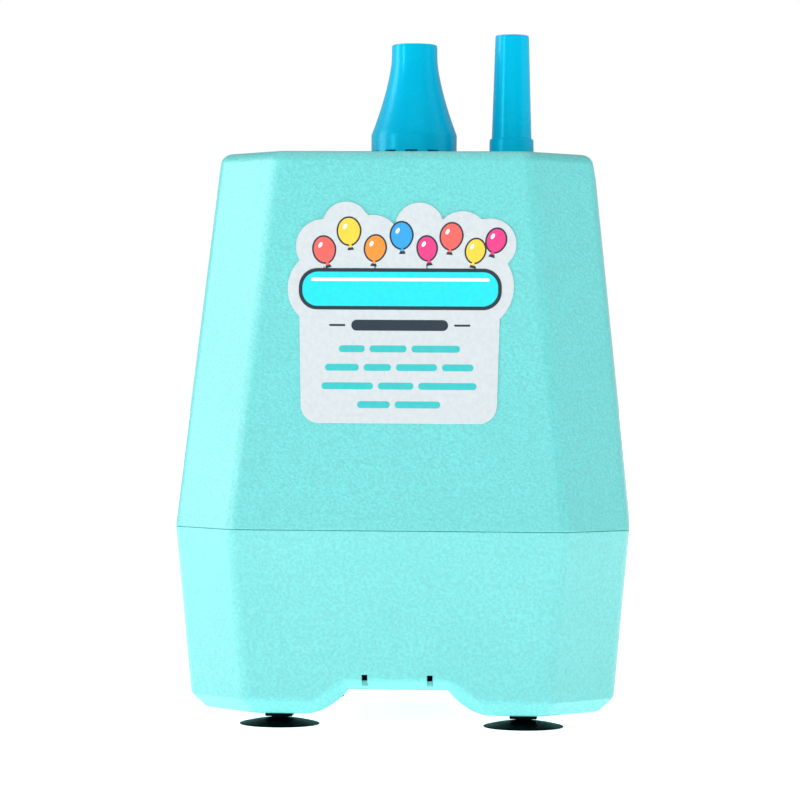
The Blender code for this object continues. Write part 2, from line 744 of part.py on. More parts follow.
def fan_nut(axis):
    item = piece("fan_nut", rod(0.0066, 0.0194, 0.0219, sides=6), zinc_steel(), axis)
    cut(item, rod(SHAFT_RADIUS + GAP, 0.0190, 0.0222))
    shade(item)


def diffuser_plate():
    """Plate behind the impeller whose vanes turn the air inwards to the motor."""
    item = piece("diffuser_plate", tube(0.0100, 0.0385, 0.0325, 0.0338, sides=FINE), white_plastic())
    vanes = []
    for index in range(8):
        vane = box((0.0200, 0.0380), (-0.0005, 0.0005), (0.0332, 0.0366))
        vanes.append(moved(vane, Matrix.Rotation(2 * math.pi * index / 8, 4, "Z")))
    unite(item, together(*vanes))
    shade(item)


def bearing_bracket(name, low):
    """End bracket: a plate with a pocket for the bearing and windows for the cooling air."""
    top = low + 0.0020
    pocket = BEARING_OUTER + GAP
    profile = [(0.0090, low), (0.0420, low), (0.0420, top), (0.0138, top), (0.0138, low + 0.0087),
               (pocket, low + 0.0087), (pocket, top), (0.0090, top)]
    item = piece(name, turned(profile, FINE), fan_aluminium())
    windows = []
    for index in range(6):
        angle = 2 * math.pi * (index + 0.5) / 6
        spot = (0.0280 * math.cos(angle), 0.0280 * math.sin(angle))
        windows.append(rod(0.0075, low - 0.0010, top + 0.0010, spot, 8))
    cut(item, together(*windows))
    shade(item)


def bearing(name, low):
    ring = tube(SHAFT_RADIUS + GAP, BEARING_OUTER, low, low + BEARING_HEIGHT)
    shade(piece(name, ring, bright_steel()))


def stator_core():
    """Laminated stator: a chamfered block with the armature bore and two winding slots."""
    x, y, chamfer = 0.0310, 0.0280, 0.0050
    outline = [(x, -(y - chamfer)), (x, y - chamfer), (x - chamfer, y), (chamfer - x, y),
               (-x, y - chamfer), (-x, chamfer - y), (chamfer - x, -y), (x - chamfer, -y)]
    item = piece("stator_core", prism(outline, STACK_BOTTOM, STACK_TOP), core_steel())
    low, high = STACK_BOTTOM - 0.0010, STACK_TOP + 0.0010
    cut(item, rod(0.0180, low, high, sides=FINE))
    cut(item, together(box((0.0100, 0.0265), (-0.0130, 0.0130), (low, high)),
                       box((-0.0265, -0.0100), (-0.0130, 0.0130), (low, high))))
    shade(item)


def field_coil(name, side):
    """Saddle winding round one pole: two legs in the slots and a bent end turn above and below."""
    leg = (0.0192, 0.0260)
    end_turn = [(-leg[1], 0.0015), (-leg[0], 0.0015), (-leg[0], 0.0178), (leg[0], 0.0178),
                (leg[0], 0.0015), (leg[1], 0.0015), (leg[1], 0.0210), (leg[1] - 0.0040, 0.0250),
                (0.0040 - leg[1], 0.0250), (-leg[1], 0.0210)]
    outline = [(x * side, y * side) for x, y in end_turn]
    item = piece(name, prism(outline, 0.0453, 0.0497), copper_wire())
    unite(item, prism(outline, 0.0803, 0.0847))
    for sign in (-1, 1):
        x = tuple(sorted((sign * leg[0], sign * leg[1])))
        y = tuple(sorted((side * 0.0016, side * 0.0125)))
        unite(item, box(x, y, (0.0490, 0.0810)))
    shade(item)


def armature(axis):
    """Rotor pack on the shaft: the laminated core, its winding heads and the commutator."""
    bore = SHAFT_RADIUS + GAP
    item = piece("armature_core", tube(bore, ARMATURE_RADIUS, STACK_BOTTOM, STACK_TOP, sides=FINE),
                 core_steel(), axis)
    slots = []
    for index in range(12):
        slot = box((0.0155, 0.0180), (-0.0008, 0.0008), (STACK_BOTTOM - 0.0010, STACK_TOP + 0.0010))
        slots.append(moved(slot, Matrix.Rotation(2 * math.pi * index / 12, 4, "Z")))
    cut(item, together(*slots))
    shade(item)
    for name, near, far in (("lower", STACK_BOTTOM - GAP, 0.0475), ("upper", STACK_TOP + GAP, 0.0855)):
        swell = near + (far - near) * 0.7
        profile = [(bore, near), (0.0150, near), (0.0158, (near + swell) / 2), (0.0140, swell),
                   (0.0100, far), (bore, far)]
        shade(piece(f"armature_winding_{name}", turned(profile), copper_wire(), axis))
    commutator = tube(bore, 0.0090, 0.0885, 0.0975)
    shade(piece("commutator", commutator, brass(), axis))
    shaft = [(0.0, SHAFT_BOTTOM), (SHAFT_RADIUS - 0.0004, SHAFT_BOTTOM),
             (SHAFT_RADIUS, SHAFT_BOTTOM + 0.0004), (SHAFT_RADIUS, SHAFT_TOP - 0.0004),
             (SHAFT_RADIUS - 0.0004, SHAFT_TOP), (0.0, SHAFT_TOP)]
    shade(piece("motor_shaft", turned(shaft, 20), bright_steel(), axis))


def brushes():
    """Carbon brushes on the commutator, each in its brass holder."""
    for name, sign in (("left", -1), ("right", 1)):
        x = tuple(sorted((sign * 0.0093, sign * 0.0200)))
        piece(f"carbon_brush_{name}", box(x, (-0.0030, 0.0030), (0.0910, 0.0950)), carbon())
        outer = tuple(sorted((sign * 0.0110, sign * 0.0280)))
        holder = piece(f"brush_holder_{name}", box(outer, (-0.0045, 0.0045), (0.0895, 0.0965)), brass())
        through = tuple(sorted((sign * 0.0100, sign * 0.0290)))
        cut(holder, box(through, (-0.0033, 0.0033), (0.0907, 0.0953)))


def wiring_parts():
    """Suppression capacitor and terminal block, in two of the housing's corners."""
    rear_right = Matrix.Rotation(math.radians(-45), 4, "Z")
    capacitor = box((-0.0080, 0.0080), (0.0448, 0.0528), (0.0600, 0.0780))
    piece("suppression_capacitor", moved(capacitor, rear_right), capacitor_box())
    rear_left = Matrix.Rotation(math.radians(45), 4, "Z")
    block = box((-0.0080, 0.0080), (0.0460, 0.0540), (0.0300, 0.0400))
    item = piece("terminal_block", moved(block, rear_left), white_plastic())
    holes = [moved(rod(0.0016, 0.0360, 0.0420, (x, 0.0500), 10), rear_left) for x in (-0.0040, 0.0040)]
    cut(item, together(*holes))


# --- Assembly -------------------------------------------------------------------------------------

def main():
    for item in list(bpy.data.objects):
        bpy.data.objects.remove(item)
    rotor_axis = axis_empty("rotor_axis", (0, 0, SHAFT_BOTTOM))
    large_axis = axis_empty("large_nozzle_axis", (0, 0, FLANGE_BOTTOM))
    small_axis = axis_empty("small_nozzle_axis", (SMALL_X, 0, FLANGE_BOTTOM))
    large_lever_axis = axis_empty("large_lever_axis", (0, LEVER_PIVOT_Y, LEVER_PIVOT_Z))
    small_lever_axis = axis_empty("small_lever_axis", (SMALL_X, LEVER_PIVOT_Y, LEVER_PIVOT_Z))
    bpy.context.view_layer.update()

    lower_housing()
    upper_housing()
    cord_gland()
    suction_cups()
    housing_screws()
    intake_grille()
    label_plate()

    large_nozzle(large_axis)
    small_nozzle(small_axis)
    nozzle_springs()
    valve("large", large_axis, (0, 0), 0.0095, LARGE_STEM)
    valve("small", small_axis, (SMALL_X, 0), 0.0072, SMALL_STEM)
    valve_block()
    switch("large", 0.0, large_lever_axis)
    switch("small", SMALL_X, small_lever_axis)

    motor_casing()
    gaskets()
    fan_shroud()
    impeller(rotor_axis)
    fan_nut(rotor_axis)
    diffuser_plate()
    bearing_bracket("lower_bracket", CASING_BOTTOM)
    bearing("lower_bearing", CASING_BOTTOM + 0.0023)
    stator_core()
    field_coil("field_coil_front", -1)
    field_coil("field_coil_rear", 1)
    armature(rotor_axis)
    bearing_bracket("upper_bracket", 0.0993)
    bearing("upper_bearing", 0.1016)
    brushes()
    wiring_parts()

    for item in bpy.data.objects:
        if item.parent is None:
            item.location.z -= CUP_RIM


main()
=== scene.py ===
"""Shown pieces, finishes and studio for the electric balloon inflator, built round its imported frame.

Each operator models one piece or one group of like pieces in metres, in the frame's own axes:
+Z is up and the label faces -Y.
"""

import math

import bmesh
import bpy
from bpy.props import FloatProperty, FloatVectorProperty, IntProperty, PointerProperty
from bpy.types import Operator, Panel, PropertyGroup
from mathutils import Matrix, Vector


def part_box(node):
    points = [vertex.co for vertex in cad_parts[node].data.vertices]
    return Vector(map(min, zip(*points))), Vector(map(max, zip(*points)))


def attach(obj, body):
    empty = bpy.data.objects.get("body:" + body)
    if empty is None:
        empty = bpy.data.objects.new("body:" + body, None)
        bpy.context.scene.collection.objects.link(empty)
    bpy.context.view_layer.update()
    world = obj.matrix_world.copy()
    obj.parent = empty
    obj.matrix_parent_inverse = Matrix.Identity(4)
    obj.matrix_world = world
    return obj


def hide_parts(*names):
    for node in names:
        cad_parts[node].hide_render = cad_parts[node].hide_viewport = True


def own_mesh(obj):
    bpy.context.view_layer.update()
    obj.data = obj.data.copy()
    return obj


bl_info = {
    "name": "Balloon Inflator",
    "version": (1, 0, 0),
    "blender": (4, 5, 0),
    "location": "View3D > Sidebar > Inflator",
    "description": "Models the shown pieces of an electric balloon inflator round its frame",
    "category": "Object",
}

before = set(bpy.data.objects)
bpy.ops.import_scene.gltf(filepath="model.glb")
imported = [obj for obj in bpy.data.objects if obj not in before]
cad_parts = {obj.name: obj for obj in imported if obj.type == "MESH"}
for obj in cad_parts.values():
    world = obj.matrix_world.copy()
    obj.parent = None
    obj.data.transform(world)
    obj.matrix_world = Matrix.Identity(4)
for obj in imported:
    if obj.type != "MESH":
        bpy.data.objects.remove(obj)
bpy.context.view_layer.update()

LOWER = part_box("lower_housing")
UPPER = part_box("upper_housing")
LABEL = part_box("label_plate")
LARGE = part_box("large_nozzle")
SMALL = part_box("small_nozzle")
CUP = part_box("suction_cup_front_right")
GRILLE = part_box("intake_grille")
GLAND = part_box("cord_gland")
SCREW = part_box("housing_screw_front_right")

MM = 0.001
BOSS = (44.0 * MM, 24.0 * MM)  # place of the screw bosses from the middle
FLANGE = 139.8 * MM  # underside of the nozzles' flanges
STOP = 1.7 * MM  # thickness of the flanges


def length(label, description, default, lowest=0.0):
    """A length property, in metres."""
    return FloatProperty(name=label, description=description, default=default, min=lowest, unit="LENGTH")


def colour(label, description, default):
    """A colour property, linear RGB."""
    return FloatVectorProperty(name=label, description=description, default=default, size=3, min=0.0,
                               max=1.0, subtype="COLOR")


def strength(label, description, default):
    """The power of a light in watts, or a brightness."""
    return FloatProperty(name=label, description=description, default=default, min=0.0)


class InflatorShape(PropertyGroup):
    """Sizes of the moulded pieces."""

    wall: length("Wall", "Wall thickness of both housings", 2.4 * MM)
    seam: length("Seam height", "Height of the lower housing's rim", 49.9 * MM)
    corner_cut: length("Corner facet", "Leg of the 45 degree corner facets", 15.5 * MM)
    corner_round: length("Corner rounding", "Radius between a face and a corner facet", 4.5 * MM)
    upper_taper: FloatProperty(name="Upper taper", description="Lean of the upper housing's faces",
                               default=math.radians(6.1), subtype="ANGLE")
    lower_taper: FloatProperty(name="Lower taper", description="Lean of the lower housing's faces",
                               default=math.radians(5.0), subtype="ANGLE")
    top_round: length("Top edge", "Size of the rounded top edge", 2.65 * MM)
    foot: length("Foot bevel", "Size of the bevel round the foot", 3.75 * MM)
    lip: length("Lip depth", "Depth of the lip inside the seam", 1.2 * MM)
    tunnel: length("Air tunnel height", "Height of the air tunnel's ceiling above the table", 10.0 * MM)
    tunnel_flat: length("Air tunnel flat", "Half the width of the tunnel's level ceiling", 12.3 * MM)
    tunnel_side: length("Air tunnel side", "Where the tunnel's side meets the floor, from the middle",
                        25.3 * MM)
    mouth: length("Tunnel mouth height", "Height of the arch in the front face", 13.5 * MM)
    notch: length("Notch place", "Distance of the two notches from the middle", 8.1 * MM)
    large_tip: length("Large nozzle tip", "Radius of the large nozzle's tip", 6.0 * MM)
    small_tip: length("Small nozzle tip", "Radius of the small nozzle's tip", 4.4 * MM)
    cup_radius: length("Cup radius", "Radius of a suction cup's rim", 10.1 * MM)
    sides: IntProperty(name="Round detail", description="Sides of the round pieces", default=96, min=24)


class InflatorColours(PropertyGroup):
    """Colours of the finishes."""

    housing: colour("Housing", "Matt teal plastic of the housing", (0.095, 0.600, 0.590))
    nozzle: colour("Nozzle", "Bright blue plastic of the nozzles", (0.000, 0.470, 0.740))
    rubber: colour("Rubber", "Black rubber of the suction cups and seals", (0.001, 0.002, 0.003))
    trim: colour("Trim", "Black plastic of the grille and the gland", (0.014, 0.015, 0.017))
    label: colour("Label", "Pale film of the label", (0.580, 0.635, 0.660))
    ink: colour("Ink", "Dark ink of the outlines and bars", (0.004, 0.020, 0.035))
    banner: colour("Banner", "Teal ink of the banner", (0.000, 0.690, 0.760))


class InflatorStudio(PropertyGroup):
    """Strength of the lights."""

    room: strength("Room", "Brightness of the white room", 0.35)
    left: strength("Left softbox", "Power of the softbox at the left", 4.3)
    front_left: strength("Front left strip", "Power of the narrow softbox at the front left", 2.8)
    front: strength("Front softbox", "Power of the softbox behind the camera", 4.5)
    low: strength("Low card", "Power of the low card behind the camera", 2.6)
    right: strength("Right fill", "Power of the fill light at the right", 1.7)
    top: strength("Top softbox", "Power of the softbox overhead", 6.0)


# --- Modelling helpers ----------------------------------------------------------------------------

def shape():
    """The sizes set in the scene."""
    return bpy.context.scene.inflator_shape


def colours():
    """The colours set in the scene."""
    return bpy.context.scene.inflator_colours


def start():
    """Object mode with nothing selected."""
    if bpy.context.object and bpy.context.object.mode != "OBJECT":
        bpy.ops.object.mode_set(mode="OBJECT")
    bpy.ops.object.select_all(action="DESELECT")


def choose(item):
    """Selects one piece alone and makes it the active one."""
    start()
    item.select_set(True)
    bpy.context.view_layer.objects.active = item


def edit(item, whole=False):
    """Opens a piece in edit mode, and selects the whole of it if asked."""
    choose(item)
    bpy.ops.object.mode_set(mode="EDIT")
    if whole:
        bpy.ops.mesh.select_all(action="SELECT")


def pick(item, kind, test):
    """Selects the edges or faces of the edited piece that pass a test."""
    bpy.ops.mesh.select_mode(type=kind)
    bpy.ops.mesh.select_all(action="DESELECT")
    mesh = bmesh.from_edit_mesh(item.data)
    for element in {"EDGE": mesh.edges, "FACE": mesh.faces}[kind]:
        element.select_set(test(element))
    mesh.select_flush_mode()
    bmesh.update_edit_mesh(item.data)


def place(item):
    """Moves the object's place, turn and scale into its mesh."""
    choose(item)
    bpy.ops.object.transform_apply(location=True, rotation=True, scale=True)


def added(primitive, **settings):
    """A new primitive, with its place and scale kept in its mesh."""
    start()
    primitive(**settings)
    item = bpy.context.object
    place(item)
    return item


def outward(item):
    """Merges doubles and points all faces out."""
    edit(item, whole=True)
    bpy.ops.mesh.remove_doubles(threshold=0.000001)
    bpy.ops.mesh.normals_make_consistent(inside=False)
    bpy.ops.object.mode_set(mode="OBJECT")


def boolean(item, tool, operation):
    """Applies a Boolean with a tool piece, and removes the tool."""
    choose(item)
    step = item.modifiers.new("step", "BOOLEAN")
    step.operation = operation
    step.solver = "EXACT"
    step.object = tool
    bpy.ops.object.modifier_apply(modifier="step")
    mesh = tool.data
    bpy.data.objects.remove(tool)
    bpy.data.meshes.remove(mesh)


def cut(item, *tools):
    """Takes the tools' shapes out of a piece."""
    for tool in tools:
        boolean(item, tool, "DIFFERENCE")


def unite(item, *tools):
    """Adds the tools' shapes to a piece."""
    for tool in tools:
        boolean(item, tool, "UNION")


def shade(item, angle=35):
    """Smooth shading that keeps the wide faces flat."""
    choose(item)
    bpy.ops.object.shade_smooth_by_angle(angle=math.radians(angle))
    step = item.modifiers.new("flat faces", "WEIGHTED_NORMAL")
    step.keep_sharp = True
    bpy.ops.object.modifier_apply(modifier="flat faces")


def finished(item, name, slot, *nodes, body="housing", material=None):
    """Names a finished piece, gives it its finish and ties it to the frame."""
    place(item)
    item.name = name
    item.data.name = name
    item.data.materials.clear()
    item.data.materials.append(material or FINISHES[slot]())
    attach(item, body)
    if nodes:
        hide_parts(*nodes)


def box(low, high):
    """A plain block between two corners, used as a tool or as a start."""
    middle = [(a + b) / 2 for a, b in zip(low, high)]
    size = [b - a for a, b in zip(low, high)]
    return added(bpy.ops.mesh.primitive_cube_add, size=1.0, location=middle, scale=size)


def rod(radius, low, high, centre=(0.0, 0.0), sides=48):
    """A plain upright cylinder, used as a tool or as a start."""
    return added(bpy.ops.mesh.primitive_cylinder_add, vertices=sides, radius=radius, depth=high - low,
                 location=(*centre, (low + high) / 2))


def middle_of(corners):
    """Middle of a box."""
    return [(low + high) / 2 for low, high in zip(*corners)]


def lathe(profile, centre=(0.0, 0.0), sides=None, solid=False):
    """A circle extruded from point to point of a (radius, z) profile.

    The run closes on itself to make a ring, or is capped at both ends to make a solid.
    """
    radius, z = profile[0]
    item = added(bpy.ops.mesh.primitive_circle_add, vertices=sides or shape().sides, radius=radius,
                 fill_type="NGON" if solid else "NOTHING", location=(*centre, z))
    edit(item)
    bpy.ops.mesh.select_mode(type="EDGE")
    bpy.ops.mesh.select_all(action="SELECT")
    for (radius, z), (next_radius, next_z) in zip(profile, profile[1:]):
        bpy.ops.mesh.extrude_region_move(TRANSFORM_OT_translate={"value": (0, 0, next_z - z)})
        grow = next_radius / radius
        bpy.ops.transform.resize(value=(grow, grow, 1), center_override=(*centre, next_z))
    if not solid:
        pick(item, "EDGE", lambda edge: edge.is_boundary)
        bpy.ops.mesh.bridge_edge_loops()
    outward(item)
    return item


def copies(item, spots):
    """The piece and its copies, moved from the first spot to each of the others."""
    first = Vector((*spots[0], 0.0))
    made = [item]
    for spot in spots[1:]:
        choose(item)
        bpy.ops.object.duplicate(linked=False)
        other = bpy.context.object
        other.location = Vector((*spot, 0.0)) - first
        place(other)
        made.append(other)
    return made


def bevel(item, offset, segments=1, test=lambda edge: True):
    """Bevels the edges that pass a test."""
    edit(item)
    pick(item, "EDGE", test)
    bpy.ops.mesh.bevel(offset=offset, offset_type="OFFSET", segments=segments, affect="EDGES",
                       clamp_overlap=False)
    bpy.ops.object.mode_set(mode="OBJECT")


def bevel_level(item, z, offset, segments):
    """Bevels the loop of edges that lies at one height."""
    bevel(item, offset, segments, lambda edge: all(abs(corner.co.z - z) < 0.00001 for corner in edge.verts))


def half_width(z):
    """Half the housing's width at height z.  It is widest at the seam."""
    taper = shape().upper_taper if z >= shape().seam else shape().lower_taper
    return LOWER[1][0] - abs(z - shape().seam) * math.tan(taper)


def block(inset, low, high):
    """The housing's outline between two heights: a tapered block with rounded 45 degree facets."""
    wide, narrow = half_width(low) - inset, half_width(high) - inset
    middle = (low + high) / 2
    item = box((-wide, -wide, low), (wide, wide, high))
    edit(item)
    pick(item, "FACE", lambda face: face.normal.z > 0.5)
    grow = narrow / wide
    bpy.ops.transform.resize(value=(grow, grow, 1), center_override=(0, 0, high))

    def upright(edge):
        return (edge.verts[0].co.z - middle) * (edge.verts[1].co.z - middle) < 0

    bevel(item, shape().corner_cut - inset * (2 - math.sqrt(2)), 1, upright)
    bevel(item, shape().corner_round * math.tan(math.pi / 8), 6, upright)
    return item


def sheet(across, along, height, floor):
    """A solid under a curved sheet: a grid with its lines at the given places, pulled down to a floor."""
    item = added(bpy.ops.mesh.primitive_grid_add, x_subdivisions=len(across) - 1,
                 y_subdivisions=len(along) - 1, size=2)
    edit(item)
    mesh = bmesh.from_edit_mesh(item.data)
    for corner in mesh.verts:
        x = across[round((corner.co.x + 1) / 2 * (len(across) - 1))]
        y = along[round((corner.co.y + 1) / 2 * (len(along) - 1))]
        corner.co = (x, y, height(x, y))
    bmesh.update_edit_mesh(item.data)
    bpy.ops.mesh.select_all(action="SELECT")
    bpy.ops.mesh.extrude_region_move(TRANSFORM_OT_translate={"value": (0, 0, -1.0 * MM)})
    bpy.ops.transform.resize(value=(1, 1, 0), center_override=(0, 0, floor))
    outward(item)
    return item


def four(x, y):
    """The four mirrored spots."""
    return [(side * x, end * y) for side in (-1, 1) for end in (-1, 1)]


def corner_name(x, y):
    """Which of the four corners a spot is at."""
    return ("front" if y < 0 else "rear") + ("_left" if x < 0 else "_right")


def cup_spots():
    """The middles of the four suction cups."""
    return four(*[abs(distance) for distance in middle_of(CUP)[:2]])


def turn(item, degrees, axis, spot=(0.0, 0.0, 0.0)):
    """Turns a piece about one of the world's axes, then moves it, with its place kept in its mesh."""
    item.rotation_euler = Matrix.Rotation(math.radians(degrees), 3, axis).to_euler()
    item.location = spot
    place(item)
    return item


def way_along(value, low, high):
    """How far a value has come from low to high, from 0 to 1."""
    return min(max((value - low) / (high - low), 0.0), 1.0)


# --- Shared effects -------------------------------------------------------------------------------

class Wiring:
    """Short hands for placing and joining nodes in a tree."""

    def __init__(self, tree):
        self.tree = tree
        self.column = 0

    def feed(self, node, **values):
        """Joins or sets a node's inputs, given by name, or by number as i0, i1 and so on."""
        for key, value in values.items():
            socket = node.inputs[int(key[1:]) if key[1:].isdigit() else key]
            if isinstance(value, bpy.types.NodeSocket):
                self.tree.links.new(value, socket)
            else:
                socket.default_value = value

    def add(self, kind, settings=None, **values):
        """A new node with its settings and inputs."""
        node = self.tree.nodes.new(kind)
        node.location = (self.column, 0)
        self.column += 180
        for key, value in (settings or {}).items():
            setattr(node, key, value)
        self.feed(node, **values)
        return node

    def math(self, operation, a, b):
        """Result of a sum on two numbers."""
        return self.add("ShaderNodeMath", {"operation": operation}, i0=a, i1=b).outputs[0]

    def times(self, a, b):
        """Product of two numbers."""
        return self.math("MULTIPLY", a, b)

    def noise(self, vector, scale, detail=2.0, roughness=0.5):
        """Cloudy noise."""
        return self.add("ShaderNodeTexNoise", Vector=vector, Scale=scale, Detail=detail,
                        Roughness=roughness).outputs["Fac"]

    def span(self, value, low, high, to_low=0.0, to_high=1.0):
        """A value eased from one range to another."""
        node = self.add("ShaderNodeMapRange", {"interpolation_type": "SMOOTHSTEP"}, Value=value)
        self.feed(node, **{"From Min": low, "From Max": high, "To Min": to_low, "To Max": to_high})
        return node.outputs["Result"]

    def tint(self, fac, a, b):
        """Colour between two colours, by a mask."""
        a, b = [(*value, 1.0) if isinstance(value, tuple) else value for value in (a, b)]
        return self.add("ShaderNodeMix", {"data_type": "RGBA"}, i0=fac, i6=a, i7=b).outputs[2]


def effect(name, outputs, build, **inputs):
    """A shader node group that reads a vector and named numbers, built once for all materials."""
    group = bpy.data.node_groups.get(name)
    if group:
        return group
    group = bpy.data.node_groups.new(name, "ShaderNodeTree")
    group.interface.new_socket(name="Vector", in_out="INPUT", socket_type="NodeSocketVector")
    for label, default in inputs.items():
        socket = group.interface.new_socket(name=label, in_out="INPUT", socket_type="NodeSocketFloat")
        socket.default_value = default
    for label in outputs:
        group.interface.new_socket(name=label, in_out="OUTPUT", socket_type="NodeSocketFloat")
    wires = Wiring(group)
    inlet = wires.add("NodeGroupInput").outputs
    results = build(wires, *[inlet[index] for index in range(1 + len(inputs))])
    wires.feed(wires.add("NodeGroupOutput"), **dict(zip(outputs, results)))
    return group


def moulded_grain():
    """Fine spark-eroded texture of a moulded surface, with the soft mottling that it gives."""
    def build(wires, where, size):
        pebbles = wires.add("ShaderNodeTexVoronoi", {"feature": "SMOOTH_F1"}, Vector=where,
                            Scale=size).outputs["Distance"]
        fine = wires.noise(where, wires.times(size, 2.3), 3.0)
        soft = wires.noise(where, wires.times(size, 0.8), 2.0)
        height = wires.math("ADD", wires.times(pebbles, 0.6), wires.times(fine, 0.4))
        return height, wires.span(soft, 0.32, 0.68)

    return effect("Moulded Grain", ("Height", "Mottle"), build, Size=1400.0)


def handling():
    """Faint large smudges that handling leaves."""
    def build(wires, where):
        return [wires.span(wires.noise(where, 38.0, 4.0, 0.6), 0.35, 0.72)]

    return effect("Handling", ("Smudge",), build)


def machine_marks():
    """Drawn or turned lines along a stretched direction, for metal."""
    def build(wires, where):
        lines = wires.noise(where, 900.0, 5.0, 0.7)
        return lines, wires.span(wires.noise(where, 60.0, 4.0, 0.6), 0.42, 0.75)

    return effect("Machine Marks", ("Lines", "Stain"), build)


def edge_wear_and_highlight():
    """Mask of the raised edges: partly wear, where handling rubs a surface lighter and smoother, and partly a
    painted highlight along the edges.
    """
    def build(wires, where, pointiness):
        edges = wires.span(pointiness, 0.52, 0.62)
        broken = wires.span(wires.noise(where, 220.0, 4.0, 0.6), 0.30, 0.65)
        return [wires.times(edges, broken)]

    return effect("Edge Rubbing And Highlight", ("Wear",), build, Pointiness=0.5)


# --- Finishes -------------------------------------------------------------------------------------

def surface(name, build):
    """A material made once; build is given its wiring, its shader and the piece's own coordinates."""
    material = bpy.data.materials.get(name)
    if not material:
        material = bpy.data.materials.new(name)
        material.use_nodes = True
        wires = Wiring(material.node_tree)
        shader = material.node_tree.nodes["Principled BSDF"]
        build(wires, shader, wires.add("ShaderNodeTexCoord").outputs["Object"])
    return material


def placed(wires, group, vector, **values):
    """A shared effect placed in a material with its own values."""
    return wires.add("ShaderNodeGroup", {"node_tree": group}, Vector=vector, **values).outputs


def relief(wires, shader, height, distance):
    """Fine relief from a height, in metres."""
    bump = wires.add("ShaderNodeBump", Height=height, Distance=distance, Strength=1.0)
    wires.feed(shader, Normal=bump.outputs["Normal"])


def lighter(tone, share):
    """A colour made brighter by a share of itself."""
    return tuple(min(channel * (1.0 + share), 1.0) for channel in tone)


def darker(tone, share):
    """A colour made darker by a share of itself."""
    return tuple(channel * (1.0 - share) for channel in tone)


def plastic(name, tone, roughness, size=1400.0, mottle=0.06, depth=0.00003, coat=0.0, coat_roughness=0.18,
            specular=0.5, glint=(1.0, 1.0, 1.0)):
    """Moulded plastic or rubber: grain, soft mottling, smudges, and raised edges made lighter, partly as rubbed
    wear and partly as a painted highlight.
    """
    def build(wires, shader, where):
        grain = placed(wires, moulded_grain(), where, Size=size)
        smudge = placed(wires, handling(), where)["Smudge"]
        raised = wires.add("ShaderNodeNewGeometry").outputs["Pointiness"]
        wear_and_highlight = placed(wires, edge_wear_and_highlight(), where, Pointiness=raised)["Wear"]
        mixed = wires.tint(grain["Mottle"], darker(tone, mottle), lighter(tone, mottle * 0.45))
        mixed = wires.tint(wires.times(smudge, 0.25), mixed, darker(tone, mottle))
        # Raised edges lightened: partly rubbed wear, partly a painted highlight of light caught along the
        # edges.
        mixed = wires.tint(wires.times(wear_and_highlight, 0.30), mixed, lighter(tone, 0.25))
        rough = wires.math("ADD", roughness, wires.times(smudge, 0.07))
        rough = wires.math("SUBTRACT", rough, wires.times(wear_and_highlight, 0.10))
        relief(wires, shader, grain["Height"], depth)
        wires.feed(shader, **{"Base Color": mixed, "Roughness": rough, "Specular IOR Level": specular,
                              "Specular Tint": (*glint, 1.0), "Coat Weight": coat,
                              "Coat Roughness": coat_roughness})

    return surface(name, build)


def metal(name, tone, roughness, stretch=(1.0, 1.0, 14.0), stain=0.25):
    """Bare metal: drawn or turned lines and a thin stain."""
    def build(wires, shader, where):
        drawn = wires.add("ShaderNodeMapping", Vector=where, Scale=stretch).outputs["Vector"]
        marks = placed(wires, machine_marks(), drawn)
        mixed = wires.tint(wires.times(marks["Stain"], stain), tone, darker(tone, 0.45))
        rough = wires.math("ADD", roughness - 0.08, wires.times(marks["Lines"], 0.22))
        relief(wires, shader, marks["Lines"], 0.00001)
        wires.feed(shader, **{"Base Color": mixed, "Roughness": rough, "Metallic": 1.0})

    return surface(name, build)


def layered(name, tone, seam_tone, pitch, roughness):
    """Laminations or windings: fine level lines, slightly uneven."""
    def build(wires, shader, where):
        wave = wires.add("ShaderNodeTexWave", {"bands_direction": "Z"}, Vector=where,
                         Scale=math.pi / 10 / pitch, Distortion=0.25).outputs["Fac"]
        spots = wires.noise(where, 300.0, 3.0)
        mixed = wires.tint(wires.span(wave, 0.1, 0.6), seam_tone, tone)
        mixed = wires.tint(wires.times(spots, 0.35), mixed, darker(tone, 0.5))
        rough = wires.math("ADD", roughness, wires.times(spots, 0.15))
        relief(wires, shader, wave, 0.00008)
        wires.feed(shader, **{"Base Color": mixed, "Roughness": rough, "Metallic": 1.0})

    return surface(name, build)


def printed(name, tone, roughness=0.42):
    """Ink or film: a faint cloudiness under a thin clear layer."""
    def build(wires, shader, where):
        cloudy = wires.noise(where, 900.0, 3.0)
        smudge = placed(wires, handling(), where)["Smudge"]
        mixed = wires.tint(wires.span(cloudy, 0.3, 0.7), darker(tone, 0.04), lighter(tone, 0.03))
        rough = wires.math("ADD", roughness, wires.times(smudge, 0.10))
        relief(wires, shader, cloudy, 0.000004)
        wires.feed(shader, **{"Base Color": mixed, "Roughness": rough, "Coat Weight": 0.15,
                              "Coat Roughness": 0.25})

    return surface(name, build)


def white_paper():
    """Paper of the floor, which glows slightly so that its shadows stay faint."""
    def build(wires, shader, where):
        fibres = wires.noise(where, 400.0, 3.0)
        away = wires.add("ShaderNodeVectorMath", {"operation": "LENGTH"}, i0=where).outputs["Value"]
        wires.feed(shader, **{"Base Color": wires.tint(fibres, (0.93, 0.93, 0.93), (0.97, 0.97, 0.97)),
                              "Roughness": 0.9, "Specular IOR Level": 0.1,
                              "Emission Color": (1.0, 1.0, 1.0, 1.0),
                              "Emission Strength": wires.span(away, 0.06, 0.4, 0.86, 1.35)})

    return surface("White Paper", build)


